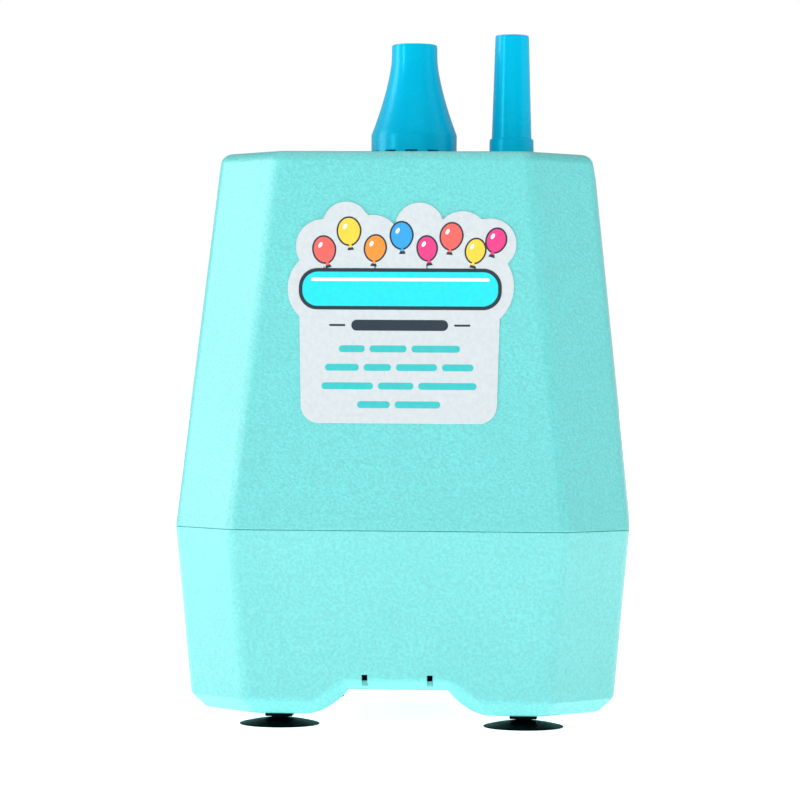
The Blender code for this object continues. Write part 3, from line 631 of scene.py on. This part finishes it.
# The finish of each slot, which is also the name of the plain material that it takes the place of.
FINISHES = {
    "teal_plastic": lambda: plastic("Teal Housing", colours().housing, 0.42, size=1750.0, mottle=0.12,
                                    depth=0.00013, coat=0.7, coat_roughness=0.40, specular=1.0),
    "blue_plastic": lambda: plastic("Blue Nozzle", colours().nozzle, 0.24, size=3200.0, mottle=0.03,
                                    depth=0.000004, specular=0.7, glint=(0.04, 0.82, 1.0)),
    "black_rubber": lambda: plastic("Cup Rubber", colours().rubber, 0.40, size=2600.0, mottle=0.10,
                                    depth=0.00001, specular=0.05, glint=(0.3, 0.9, 1.0)),
    "black_plastic": lambda: plastic("Black Trim", colours().trim, 0.48, size=2200.0, mottle=0.10,
                                     depth=0.00002),
    "white_plastic": lambda: plastic("White Plastic", (0.70, 0.69, 0.65), 0.44, size=1800.0, mottle=0.04),
    "capacitor_box": lambda: plastic("Capacitor Box", (0.72, 0.38, 0.05), 0.36, size=2400.0, coat=0.2),
    "carbon": lambda: plastic("Carbon", (0.028, 0.028, 0.030), 0.62, size=3000.0, mottle=0.25),
    "bright_steel": lambda: metal("Bright Steel", (0.60, 0.60, 0.61), 0.26),
    "zinc_steel": lambda: metal("Zinc Steel", (0.58, 0.60, 0.60), 0.36, (1.0, 1.0, 1.0), 0.45),
    "fan_aluminium": lambda: metal("Fan Aluminium", (0.78, 0.78, 0.79), 0.38, (1.0, 1.0, 2.0), 0.30),
    "contact_brass": lambda: metal("Contact Brass", (0.76, 0.55, 0.20), 0.32, (1.0, 1.0, 6.0), 0.40),
    "core_steel": lambda: layered("Core Laminations", (0.34, 0.35, 0.37), (0.05, 0.05, 0.055), 0.5 * MM, 0.38),
    "copper_wire": lambda: layered("Copper Windings", (0.74, 0.27, 0.11), (0.22, 0.06, 0.02), 0.7 * MM, 0.28),
    "label_film": lambda: printed("Label Film", colours().label, 0.36),
}


# --- Pieces ---------------------------------------------------------------------------------------

class UpperHousing(Operator):
    """Model the tapered upper housing with its rounded top edge and the two nozzle holes"""
    bl_idname = "inflator.upper_housing"
    bl_label = "Upper Housing"

    def execute(self, context):
        s = shape()
        rim, top = UPPER[0][2], UPPER[1][2]
        inner_top = top - s.wall
        item = block(0.0, rim, top)
        bevel_level(item, top, s.top_round, 8)
        bevel_level(item, rim, 0.3 * MM, 2)
        hollow = block(s.wall, rim - 1.0 * MM, inner_top)
        bevel_level(hollow, inner_top, 1.0 * MM, 3)
        cut(item, hollow, block(s.lip, rim - 1.0 * MM, rim + 2.2 * MM))
        unite(item, *[rod(4.2 * MM, rim - 0.3 * MM, 68.8 * MM, spot) for spot in four(*BOSS)])
        for x, y in four(49.3 * MM, BOSS[1]):
            unite(item, box((x - 5.2 * MM, y - 1.0 * MM, 54.8 * MM), (x + 5.2 * MM, y + 1.0 * MM, 67.8 * MM)))
        unite(item, *[rod(3.0 * MM, 134.1 * MM, inner_top + 1.0 * MM, spot)
                      for spot in four(27.5 * MM, 27.5 * MM)])
        cut(item, *[rod(1.6 * MM, rim - 2.0 * MM, 62.8 * MM, spot, 24) for spot in four(*BOSS)])
        for radius, x in ((11.6 * MM, 0.0), (6.25 * MM, middle_of(SMALL)[0])):
            cut(item, lathe([(radius, inner_top - 2.0 * MM), (radius, top - 0.5 * MM),
                             (radius + 0.15 * MM, top - 0.15 * MM), (radius + 0.6 * MM, top + 0.05 * MM),
                             (radius + 0.6 * MM, top + 1.0 * MM)], (x, 0.0), solid=True))
        shade(item)
        finished(item, "upper_housing_shown", "teal_plastic", "upper_housing")
        return {"FINISHED"}


class LowerHousing(Operator):
    """Model the lower housing: foot bevel, arched air tunnel, lip, floor and screw bosses"""
    bl_idname = "inflator.lower_housing"
    bl_label = "Lower Housing"

    def execute(self, context):
        s = shape()
        bottom, lip_top = LOWER[0][2], LOWER[1][2]
        floor_top = bottom + s.wall
        item = block(0.0, bottom, s.seam)
        bevel_level(item, s.seam, 0.3 * MM, 2)
        bevel_level(item, bottom, s.foot, 1)
        bevel_level(item, bottom + s.foot * math.cos(s.lower_taper), 0.9 * MM, 4)
        bevel_level(item, bottom, 0.8 * MM, 3)
        unite(item, block(s.lip + 0.3 * MM, s.seam - 1.0 * MM, lip_top))
        hollow = block(s.wall, floor_top, s.seam)
        bevel_level(hollow, floor_top, 1.5 * MM, 3)
        cut(item, hollow, block(s.wall, s.seam - 1.0 * MM, lip_top + 1.0 * MM))

        curve = 2.3

        def vault(x, y, rise=s.wall):
            """Height of the tunnel's ceiling as seen from inside the housing."""
            part = way_along(abs(x), s.tunnel_flat + 1.5 * MM, s.tunnel_side + 2.5 * MM)
            return floor_top - 0.2 * MM + (s.tunnel + rise - floor_top + 0.2 * MM) * (1 - part) ** curve

        lines = [side * (s.tunnel_flat + 1.5 * MM + step * 1.4 * MM) for side in (-1, 1) for step in range(11)]
        rear = half_width(s.tunnel) - 2.1 * MM
        unite(item, sheet(sorted(lines), (-rear, rear), vault, floor_top - 0.35 * MM))
        unite(item, lathe([(30.0 * MM, floor_top - 0.6 * MM), (35.0 * MM, floor_top - 0.6 * MM),
                           (35.0 * MM, 13.8 * MM), (30.0 * MM, 13.8 * MM)]))
        unite(item, *[rod(4.2 * MM, floor_top - 0.7 * MM, s.seam - 0.4 * MM, spot) for spot in four(*BOSS)])
        unite(item, rod(2.2 * MM, floor_top - 0.7 * MM, 28.5 * MM, (-38.0 * MM, 34.0 * MM)))

        face = half_width(s.mouth)
        inside = face - 5.0 * MM
        base = bottom - 0.2 * MM
        arch_end, arch_low = 27.0 * MM, 5.8 * MM

        def tunnel(x, y):
            """Height of the air tunnel's surface, which flares out to the arches at its two mouths."""
            part = way_along(abs(x), s.tunnel_flat, s.tunnel_side)
            inner = base + (s.tunnel - base) * (1 - part) ** curve
            swing = way_along(abs(x), s.tunnel_flat + 0.4 * MM, arch_end)
            outer = s.mouth + (arch_low - s.mouth) * swing * swing * (3 - 2 * swing)
            if abs(x) > arch_end:
                outer = arch_low - (abs(x) - arch_end) * 1.5
            way = way_along(abs(y), inside, face + 0.05 * MM)
            late = way_along(way, 0.8, 1.0)
            rise = 0.8 * min(way / 0.8, 1.0) * 0.8 + 0.16 * late + 0.2 * (1 - math.sqrt(1 - late * late))
            return inner + (outer - inner) * rise

        across = [side * (s.tunnel_flat + step * 0.9 * MM) for side in (-1, 1) for step in range(20)]
        across += [0.0, -6.0 * MM, 6.0 * MM]
        steps = (0.0, 0.15, 0.3, 0.45, 0.6, 0.7, 0.8, 0.86, 0.91, 0.95, 0.98, 1.0)
        along = [side * (inside + 5.05 * MM * step) for side in (-1, 1) for step in steps]
        along += [-face - 6.0 * MM, face + 6.0 * MM, 0.0]
        cut(item, sheet(sorted(across), sorted(along), tunnel, bottom - 3.0 * MM))

        cut(item, box((-10.5 * MM, -24.0 * MM, s.tunnel - 1.0 * MM),
                      (10.5 * MM, 24.0 * MM, s.tunnel + 3.5 * MM)))
        for x in (-s.notch, s.notch):
            cut(item, box((x - 0.72 * MM, -face - 1.0 * MM, s.tunnel + 0.4 * MM),
                          (x + 0.72 * MM, 3.0 * MM - face, s.mouth + 0.6 * MM)))
        for spot in four(*BOSS):
            cut(item, lathe([(3.2 * MM, 15.8 * MM), (3.2 * MM, bottom + 0.5 * MM), (3.6 * MM, bottom),
                             (3.6 * MM, bottom - 1.0 * MM)], spot, 48, True))
            cut(item, rod(1.7 * MM, 15.0 * MM, s.seam + 1.0 * MM, spot, 24))
        cut(item, *[rod(2.5 * MM, bottom - 1.0 * MM, floor_top + 1.0 * MM, spot) for spot in cup_spots()])
        x, _, z = middle_of(GLAND)
        hole = rod(4.5 * MM, half_width(z) - 6.0 * MM, half_width(z) + 4.0 * MM)
        cut(item, turn(hole, -90, "X", (x, 0, z)))
        shade(item, 40)
        finished(item, "lower_housing_shown", "teal_plastic", "lower_housing")
        return {"FINISHED"}


def ports(item, x, width, reach):
    """Cuts the two crossing air ports through a nozzle's stem."""
    low, high = 132.1 * MM, 135.1 * MM
    cut(item, box((x - width, -reach, low), (x + width, reach, high)),
        box((x - reach, -width, low), (x + reach, width, high)))


class LargeNozzle(Operator):
    """Model the flared nozzle with its slotted skirt, stem and air ports"""
    bl_idname = "inflator.large_nozzle"
    bl_label = "Large Nozzle"

    def execute(self, context):
        tip = LARGE[1][2]
        flare_low, flare_high, grow = tip - 23.7 * MM, tip - 3.8 * MM, 5.2 * MM
        narrow = shape().large_tip
        profile = [(9.4 * MM, FLANGE), (13.0 * MM, FLANGE), (13.0 * MM, FLANGE + STOP),
                   (11.2 * MM, FLANGE + STOP), (11.2 * MM, flare_low - 0.5 * MM)]
        steps = 18
        for step in range(steps + 1):
            part = 1 - step / steps
            profile.append((narrow + grow * part ** 1.45, flare_low + (flare_high - flare_low) * step / steps))
        profile += [(narrow - 0.05 * MM, tip - 0.5 * MM), (narrow - 0.15 * MM, tip - 0.15 * MM),
                    (narrow - 0.5 * MM, tip), (4.95 * MM, tip), (4.75 * MM, tip - 0.25 * MM),
                    (4.7 * MM, tip - 10.0 * MM), (3.8 * MM, tip - 14.0 * MM), (3.8 * MM, LARGE[0][2]),
                    (5.3 * MM, LARGE[0][2]), (5.3 * MM, flare_low - 2.4 * MM), (9.4 * MM, flare_low - 2.4 * MM)]
        item = lathe(profile)
        ports(item, 0.0, 2.0 * MM, 8.0 * MM)
        for index in range(12):
            window = box((8.7 * MM, -1.6 * MM, 144.6 * MM), (12.0 * MM, 1.6 * MM, 146.8 * MM))
            cut(item, turn(window, 30 * index, "Z"))
        shade(item, 32)
        finished(item, "large_nozzle_shown", "blue_plastic", "large_nozzle", body="large_plunger")
        return {"FINISHED"}


class SmallNozzle(Operator):
    """Model the straight nozzle with its collar, stem and air ports"""
    bl_idname = "inflator.small_nozzle"
    bl_label = "Small Nozzle"

    def execute(self, context):
        tip, x = SMALL[1][2], middle_of(SMALL)[0]
        narrow = shape().small_tip
        collar = tip - 27.2 * MM
        profile = [(4.0 * MM, FLANGE), (7.6 * MM, FLANGE), (7.6 * MM, FLANGE + STOP), (5.9 * MM, FLANGE + STOP),
                   (5.75 * MM, collar - 0.3 * MM), (5.6 * MM, collar), (5.25 * MM, collar + 0.1 * MM),
                   (5.2 * MM, collar + 0.4 * MM), (narrow + 0.4 * MM, tip - 14.5 * MM),
                   (narrow, tip - 0.5 * MM), (narrow - 0.12 * MM, tip - 0.12 * MM), (narrow - 0.45 * MM, tip),
                   (3.5 * MM, tip), (3.32 * MM, tip - 0.2 * MM), (3.3 * MM, tip - 7.5 * MM),
                   (2.7 * MM, tip - 10.5 * MM), (2.7 * MM, SMALL[0][2]), (4.0 * MM, SMALL[0][2])]
        item = lathe(profile, (x, 0.0))
        ports(item, x, 1.4 * MM, 6.0 * MM)
        shade(item, 32)
        finished(item, "small_nozzle_shown", "blue_plastic", "small_nozzle", body="small_plunger")
        return {"FINISHED"}


class SuctionCups(Operator):
    """Model one rubber suction cup with its stud and plug, and copy it to the four feet"""
    bl_idname = "inflator.suction_cups"
    bl_label = "Suction Cups"

    def execute(self, context):
        spots = cup_spots()
        x, y = spots[0]
        floor_top = LOWER[0][2] + shape().wall
        rim = shape().cup_radius / MM
        profile = [(0.2, 0.95), (2.0, 0.92), (5.0, 0.72), (7.6, 0.36), (rim - 0.75, 0.0), (rim - 0.1, 0.0),
                   (rim, 0.08), (rim, 0.20), (rim - 0.3, 0.36), (8.4, 0.70), (6.4, 1.12), (4.2, 1.46),
                   (2.7, 1.62), (2.25, 1.70), (2.0, 1.85), (2.0, 2.4), (2.1, 3.5)]
        profile = [(radius * MM, z * MM) for radius, z in profile]
        profile += [(2.1 * MM, floor_top + 0.3 * MM), (3.2 * MM, floor_top + 0.3 * MM),
                    (3.4 * MM, floor_top + 0.55 * MM), (3.0 * MM, floor_top + 2.1 * MM),
                    (2.4 * MM, floor_top + 2.5 * MM), (0.2 * MM, floor_top + 2.6 * MM)]
        first = lathe(profile, (x, y), 72, True)
        stud = box((x - 3.45 * MM, y - 2.6 * MM, 2.1 * MM), (x + 3.45 * MM, y + 2.6 * MM, 3.5 * MM))
        bevel(stud, 0.18 * MM, 2)
        unite(first, stud)
        shade(first, 40)
        for item, spot in zip(copies(first, spots), spots):
            corner = corner_name(*spot)
            finished(item, "cup_" + corner, "black_rubber", "suction_cup_" + corner)
        return {"FINISHED"}


class Gland(Operator):
    """Model the bushing in the rear wall where the supply cord goes in"""
    bl_idname = "inflator.cord_gland"
    bl_label = "Cord Gland"

    def execute(self, context):
        x, _, z = middle_of(GLAND)
        outer = half_width(z) + 0.8 * MM
        inner = outer - shape().wall - 1.6 * MM
        item = lathe([(3.2 * MM, inner - 1.4 * MM), (5.4 * MM, inner - 1.4 * MM), (5.6 * MM, inner - 1.1 * MM),
                      (5.6 * MM, inner), (4.2 * MM, inner), (4.2 * MM, outer), (5.7 * MM, outer),
                      (5.6 * MM, outer + 0.7 * MM), (5.2 * MM, outer + 1.25 * MM), (4.7 * MM, outer + 1.4 * MM),
                      (3.6 * MM, outer + 1.4 * MM), (3.2 * MM, outer + 1.0 * MM)], sides=64)
        turn(item, -90, "X", (x, 0, z))
        shade(item, 32)
        finished(item, "gland", "black_plastic", "cord_gland")
        return {"FINISHED"}


class Grille(Operator):
    """Model the slotted grille in the ceiling of the air tunnel"""
    bl_idname = "inflator.intake_grille"
    bl_label = "Intake Grille"

    def execute(self, context):
        low, high = GRILLE[0][2], GRILLE[1][2]
        flange = high - 1.2 * MM
        item = box((-10.2 * MM, -23.7 * MM, low), (10.2 * MM, 23.7 * MM, flange + 0.5 * MM))
        bevel(item, 0.5 * MM, 3)
        unite(item, box((GRILLE[0][0], GRILLE[0][1], flange), (GRILLE[1][0], GRILLE[1][1], high)))
        for row in range(7):
            y = (row - 3) * 6.4 * MM
            slot = box((-8.5 * MM, y - 2.1 * MM, low - 1.0 * MM), (8.5 * MM, y + 2.1 * MM, high + 1.0 * MM))
            bevel(slot, 2.0 * MM, 8, lambda edge: abs(edge.verts[0].co.z - edge.verts[1].co.z) > 1.0 * MM)
            cut(item, slot)
        shade(item, 35)
        finished(item, "grille", "black_plastic", "intake_grille")
        return {"FINISHED"}


class Screws(Operator):
    """Model one housing screw with its cross recess, and copy it to the four bosses"""
    bl_idname = "inflator.housing_screws"
    bl_label = "Housing Screws"

    def execute(self, context):
        seat = 15.5 * MM
        low, tip = SCREW[0][2], SCREW[1][2]
        pitch = 1.0 * MM
        profile = [(0.2 * MM, low), (1.6 * MM, low + 0.06 * MM), (2.5 * MM, low + 0.5 * MM),
                   (2.8 * MM, low + 1.2 * MM), (2.8 * MM, seat), (1.25 * MM, seat), (1.25 * MM, seat + pitch)]
        z = seat + pitch
        while z < tip - 3.0 * MM:
            profile += [(1.3 * MM, z + 0.35 * MM), (1.05 * MM, z + 0.85 * MM)]
            z += pitch
        profile += [(1.1 * MM, tip - 1.4 * MM), (0.2 * MM, tip)]
        spots = four(*BOSS)
        x, y = spots[0]
        item = lathe(profile, (x, y), 32, True)
        for across, along in ((1.7 * MM, 0.32 * MM), (0.32 * MM, 1.7 * MM)):
            cut(item, box((x - across, y - along, low - 1.0 * MM), (x + across, y + along, low + 1.2 * MM)))
        shade(item, 30)
        for screw, spot in zip(copies(item, spots), spots):
            corner = corner_name(*spot)
            finished(screw, "screw_" + corner, "zinc_steel", "housing_screw_" + corner)
        return {"FINISHED"}


class Springs(Operator):
    """Model the two return springs as fixed coils; on the inflator they press flat as their nozzle goes down"""
    bl_idname = "inflator.springs"
    bl_label = "Return Springs"

    def execute(self, context):
        for size, nozzle, reach, wire, turns in (("large", LARGE, 11.2 * MM, 0.5 * MM, 2),
                                                 ("small", SMALL, 6.75 * MM, 0.35 * MM, 3)):
            low, high = [corner[2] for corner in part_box(size + "_nozzle_spring")]
            x = middle_of(nozzle)[0]
            item = added(bpy.ops.mesh.primitive_circle_add, vertices=16, radius=wire,
                         location=(reach, 0, low + wire), rotation=(math.pi / 2, 0, 0))
            winding = item.modifiers.new("winding", "SCREW")
            winding.iterations = turns
            winding.screw_offset = (high - low - 2 * wire) / turns
            winding.steps = winding.render_steps = 64
            bpy.ops.object.modifier_apply(modifier="winding")
            edit(item, whole=True)
            bpy.ops.mesh.fill_holes(sides=0)
            bpy.ops.object.mode_set(mode="OBJECT")
            item.location.x = x
            outward(item)
            shade(item, 40)
            finished(item, size + "_spring", "bright_steel", size + "_nozzle_spring")
            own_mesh(item)
        return {"FINISHED"}


class Works(Operator):
    """Give the motor, fan, valves and switches inside the housing their finishes"""
    bl_idname = "inflator.works"
    bl_label = "Inner Works"

    def execute(self, context):
        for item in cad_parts.values():
            for slot in item.material_slots:
                if slot.material and slot.material.name in FINISHES:
                    slot.material = FINISHES[slot.material.name]()
        return {"FINISHED"}


# --- Label ----------------------------------------------------------------------------------------

def cloud(steps=220):
    """Outline of the label's upper part: the outer edge of a ring of overlapping discs."""
    centre = Vector((0.0, 35.5 * MM))
    discs = [(-18.4, 33.4, 9.6), (-19.4, 43.9, 6.7), (-13.7, 49.2, 5.8), (-6.9, 44.9, 6.8), (4.6, 48.8, 6.0),
             (15.3, 46.1, 6.6), (22.3, 44.5, 6.4), (17.4, 33.9, 10.8)]
    outline = []
    for step in range(steps + 1):
        angle = math.radians(-21 + 221 * step / steps)
        ray = Vector((math.cos(angle), math.sin(angle)))
        reach = 0.0
        for x, z, radius in discs:
            offset = Vector((x, z)) * MM - centre
            along = offset.dot(ray)
            spare = (radius * MM) ** 2 - (offset.length_squared - along ** 2)
            if spare > 0:
                reach = max(reach, along + math.sqrt(spare))
        outline.append(centre + ray * reach)
    return outline


def pill(left, right, low, high, corner, steps=8):
    """Outline of a bar with rounded corners, in millimetres."""
    outline = []
    for quarter, (x, z) in enumerate(((right, high), (left, high), (left, low), (right, low))):
        inward_x = -corner if x == right else corner
        inward_z = -corner if z == high else corner
        for step in range(steps + 1):
            angle = math.pi / 2 * (quarter + step / steps)
            outline.append(((x + inward_x + corner * math.cos(angle)) * MM,
                            (z + inward_z + corner * math.sin(angle)) * MM))
    return outline


def balloon(x, z, wide, tall, tilt, margin=0.0, sides=48):
    """Outline of a balloon with its knot, tilted, in millimetres."""
    wide, tall = wide + margin, tall + margin
    outline = []
    for step in range(1, sides):
        angle = -math.pi / 2 + 2 * math.pi * step / sides
        egg = 1.0 + 0.10 * math.sin(angle) if angle < 0 else 1.0
        outline.append(Vector((wide * egg * math.cos(angle), tall * math.sin(angle))))
    knot = 0.55 + margin * 0.7
    outline += [Vector((-0.22 - margin * 0.5, -tall + 0.02)), Vector((-knot, -tall - 0.75 - margin * 0.6)),
                Vector((knot, -tall - 0.75 - margin * 0.6)), Vector((0.22 + margin * 0.5, -tall + 0.02))]
    lean = Matrix.Rotation(math.radians(tilt), 2)
    return [(lean @ point + Vector((x, z))) * MM for point in outline]


def film(outline, lift, thick):
    """A thin closed patch on the sloping front face, from its outline above the label's foot."""
    item = added(bpy.ops.mesh.primitive_circle_add, vertices=len(outline), radius=1.0, fill_type="NGON")
    lean = shape().upper_taper
    normal = Vector((0, -math.cos(lean), math.sin(lean)))
    for corner, (x, up) in zip(item.data.vertices, outline):
        z = LABEL[0][2] + up
        corner.co = Vector((x, -half_width(z), z)) + normal * lift
    edit(item, whole=True)
    bpy.ops.mesh.extrude_region_move(TRANSFORM_OT_translate={"value": normal * thick})
    outward(item)
    return item


def joined(items):
    """Several pieces as one mesh."""
    choose(items[0])
    for item in items[1:]:
        item.select_set(True)
    if len(items) > 1:
        bpy.ops.object.join()
    return items[0]


def ellipse(x, z, wide, tall, tilt, sides=20):
    """Outline of a tilted ellipse, in millimetres."""
    lean = Matrix.Rotation(math.radians(tilt), 2)
    angles = [2 * math.pi * step / sides for step in range(sides)]
    return [(lean @ Vector((wide * math.cos(angle), tall * math.sin(angle))) + Vector((x, z))) * MM
            for angle in angles]


def inked(name, items, ink, tone):
    """Finishes the label's pieces of one ink as one piece."""
    finished(joined(items), "label_" + name, "label_film", material=printed(ink, tone))


class Label(Operator):
    """Model the label: its film, and plain balloons, a banner and bars in thin layers of ink"""
    bl_idname = "inflator.label"
    bl_label = "Label"

    def execute(self, context):
        thick = 0.03 * MM
        film_top = 0.34 * MM
        panel = []
        for begin, x in ((math.pi, -19.8 * MM), (1.5 * math.pi, 19.8 * MM)):
            for step in range(13):
                angle = begin + math.pi / 2 * step / 12
                panel.append((x + 4.5 * MM * math.cos(angle), 4.5 * MM + 4.5 * MM * math.sin(angle)))
        base = film(panel + [tuple(point) for point in cloud()], 0.04 * MM, film_top - 0.04 * MM)
        finished(base, "label_film", "label_film", "label_plate")

        bunch = [(-19.0, 43.0, 2.6, 3.2, 14, "coral"), (-12.9, 47.6, 2.7, 3.3, 6, "yellow"),
                 (-6.3, 43.4, 2.5, 3.1, -5, "orange"), (0.2, 46.6, 2.6, 3.2, 3, "blue"),
                 (6.6, 43.4, 2.3, 2.9, 8, "magenta"), (12.6, 46.4, 2.6, 3.2, -6, "coral"),
                 (18.6, 42.8, 2.3, 2.9, -10, "yellow"), (23.7, 45.4, 2.3, 2.9, -15, "magenta")]
        inks = {"coral": (0.86, 0.115, 0.100), "yellow": (0.93, 0.60, 0.045), "orange": (0.90, 0.27, 0.025),
                "blue": (0.020, 0.330, 0.720), "magenta": (0.74, 0.035, 0.215)}
        dark = [film(balloon(x, z, wide, tall, tilt, 0.42), film_top, thick)
                for x, z, wide, tall, tilt, _ in bunch]
        dark += [film(pill(x - 0.13, x + 0.13, 38.0, z - tall - 1.0, 0.1, 2), film_top, thick)
                 for x, z, wide, tall, tilt, _ in bunch if z < 45]
        dark.append(film(pill(-25.2, 25.2, 28.1, 38.4, 4.6, 14), film_top + thick, thick))
        dark.append(film(pill(-12.0, 12.0, 22.9, 25.6, 1.3), film_top, thick))
        dark += [film(pill(low, low + 4.0, 24.0, 24.5, 0.2, 4), film_top, thick) for low in (-17.5, 13.5)]
        inked("outline", dark, "Dark Ink", colours().ink)
        for name, tone in inks.items():
            same = [film(balloon(x, z, wide, tall, tilt), film_top + thick, thick)
                    for x, z, wide, tall, tilt, ink in bunch if ink == name]
            inked(name, same, name.title() + " Ink", tone)
        shine = [film(ellipse(x - wide * 0.38, z + tall * 0.36, 0.42, 0.75, -28), film_top + 2 * thick, thick)
                 for x, z, wide, tall, _, _ in bunch]
        shine.append(film(pill(-22.2, 22.2, 35.2, 36.0, 0.35, 4), film_top + 3 * thick, thick))
        inked("shine", shine, "Light Ink", lighter(colours().label, 0.5))
        banner = film(pill(-24.3, 24.3, 29.0, 37.5, 3.8, 14), film_top + 2 * thick, thick)
        inked("banner", [banner], "Banner Ink", colours().banner)
        rows = ((18.4, (-15.0, -8.6, -7.4, 1.8, 3.0, 15.0)),
                (13.8, (-18.4, -10.0, -8.8, -2.0, -0.8, 9.4, 10.6, 18.4)),
                (9.2, (-19.2, -6.4, -5.2, 3.6, 4.8, 19.2)), (4.6, (-10.3, -2.2, -1.0, 10.3)))
        bars = [film(pill(low, high, middle - 0.85, middle + 0.85, 0.8, 6), film_top, thick)
                for middle, ends in rows for low, high in zip(ends[::2], ends[1::2])]
        inked("bars", bars, "Teal Ink", (0.024, 0.500, 0.510))
        return {"FINISHED"}


# --- Stage ----------------------------------------------------------------------------------------

def softbox(name, spot, target, size, power):
    """A white area light turned towards a point."""
    start()
    bpy.ops.object.light_add(type="AREA")
    item = bpy.context.object
    item.name = name
    item.data.shape = "RECTANGLE"
    item.data.size, item.data.size_y = size
    item.data.energy = power
    item.location = spot
    item.rotation_euler = (Vector(target) - Vector(spot)).to_track_quat("-Z", "Y").to_euler()


class Studio(Operator):
    """Set the white floor, the soft lights and the camera"""
    bl_idname = "inflator.stage"
    bl_label = "Studio"

    def execute(self, context):
        scene = context.scene
        scene.view_settings.view_transform = "Standard"
        world = bpy.data.worlds.new("Studio")
        world.use_nodes = True
        wires = Wiring(world.node_tree)
        world.node_tree.nodes.clear()
        ray = wires.add("ShaderNodeLightPath").outputs["Is Camera Ray"]
        room = wires.add("ShaderNodeBackground", Strength=scene.inflator_studio.room)
        paper = wires.add("ShaderNodeBackground", Strength=1.0)
        for node in (room, paper):
            node.inputs["Color"].default_value = (1, 1, 1, 1)
        mix = wires.add("ShaderNodeMixShader", i0=ray, i1=room.outputs[0], i2=paper.outputs[0])
        wires.add("ShaderNodeOutputWorld", Surface=mix.outputs[0])
        scene.world = world

        start()
        bpy.ops.mesh.primitive_circle_add(vertices=96, radius=6.0, fill_type="NGON")
        floor = bpy.context.object
        floor.name = "floor"
        floor.data.materials.append(white_paper())

        studio = scene.inflator_studio
        middle = (0, 0, 0.085)
        softbox("left softbox", (-1.25, 0.02, 0.42), middle, (0.45, 0.75), studio.left)
        softbox("front left strip", (-1.02, -0.74, 0.36), middle, (0.09, 0.5), studio.front_left)
        softbox("front softbox", (0.25, -1.2, 1.65), middle, (1.6, 1.2), studio.front)
        softbox("right fill", (1.35, -0.25, 0.5), middle, (0.9, 1.1), studio.right)
        softbox("low card", (0.0, -1.6, 0.17), middle, (1.8, 0.3), studio.low)
        softbox("top softbox", (0.0, 0.15, 1.5), (0, 0, 0.1), (1.6, 1.6), studio.top)

        bpy.ops.object.camera_add()
        camera = bpy.context.object
        camera.data.lens = 153.6
        camera.data.sensor_width = 36.0
        camera.data.clip_end = 60.0
        azimuth, yaw, tilt, roll = [math.radians(angle) for angle in (3.63, 0.21, 90 - 0.547, 0.35)]
        distance, height = 0.897, 0.0902
        camera.location = (distance * math.sin(azimuth), -distance * math.cos(azimuth), height)
        view = (Matrix.Rotation(azimuth + yaw, 3, "Z") @ Matrix.Rotation(tilt, 3, "X")
                @ Matrix.Rotation(roll, 3, "Z"))
        camera.rotation_euler = view.to_euler()
        scene.camera = camera
        return {"FINISHED"}


# --- Panel and registration -----------------------------------------------------------------------

PIECES = (Studio, UpperHousing, LowerHousing, LargeNozzle, SmallNozzle, SuctionCups, Label, Gland, Grille,
          Screws, Springs, Works)


class InflatorPanel(Panel):
    """Sizes, colours and lights, and a button for each group of pieces."""
    bl_idname = "VIEW3D_PT_inflator"
    bl_label = "Balloon Inflator"
    bl_space_type = "VIEW_3D"
    bl_region_type = "UI"
    bl_category = "Inflator"

    def draw(self, context):
        layout, scene = self.layout, context.scene
        for heading, group in (("Shape", scene.inflator_shape), ("Colours", scene.inflator_colours),
                               ("Studio", scene.inflator_studio)):
            layout.label(text=heading)
            for key in group.bl_rna.properties.keys():
                if key not in ("rna_type", "name"):
                    layout.prop(group, key)
        layout.label(text="Pieces")
        for piece in PIECES:
            layout.operator(piece.bl_idname)


CLASSES = (InflatorShape, InflatorColours, InflatorStudio) + PIECES + (InflatorPanel,)


def register():
    """Registers the classes and hangs the properties on the scene."""
    for kind in CLASSES:
        bpy.utils.register_class(kind)
    bpy.types.Scene.inflator_shape = PointerProperty(type=InflatorShape)
    bpy.types.Scene.inflator_colours = PointerProperty(type=InflatorColours)
    bpy.types.Scene.inflator_studio = PointerProperty(type=InflatorStudio)


def unregister():
    """Takes the properties and classes away again."""
    del bpy.types.Scene.inflator_studio
    del bpy.types.Scene.inflator_colours
    del bpy.types.Scene.inflator_shape
    for kind in reversed(CLASSES):
        bpy.utils.unregister_class(kind)


def main():
    """Models everything."""
    register()
    for piece in PIECES:
        family, name = piece.bl_idname.split(".")
        getattr(getattr(bpy.ops, family), name)()


if __name__ == "__main__":
    main()
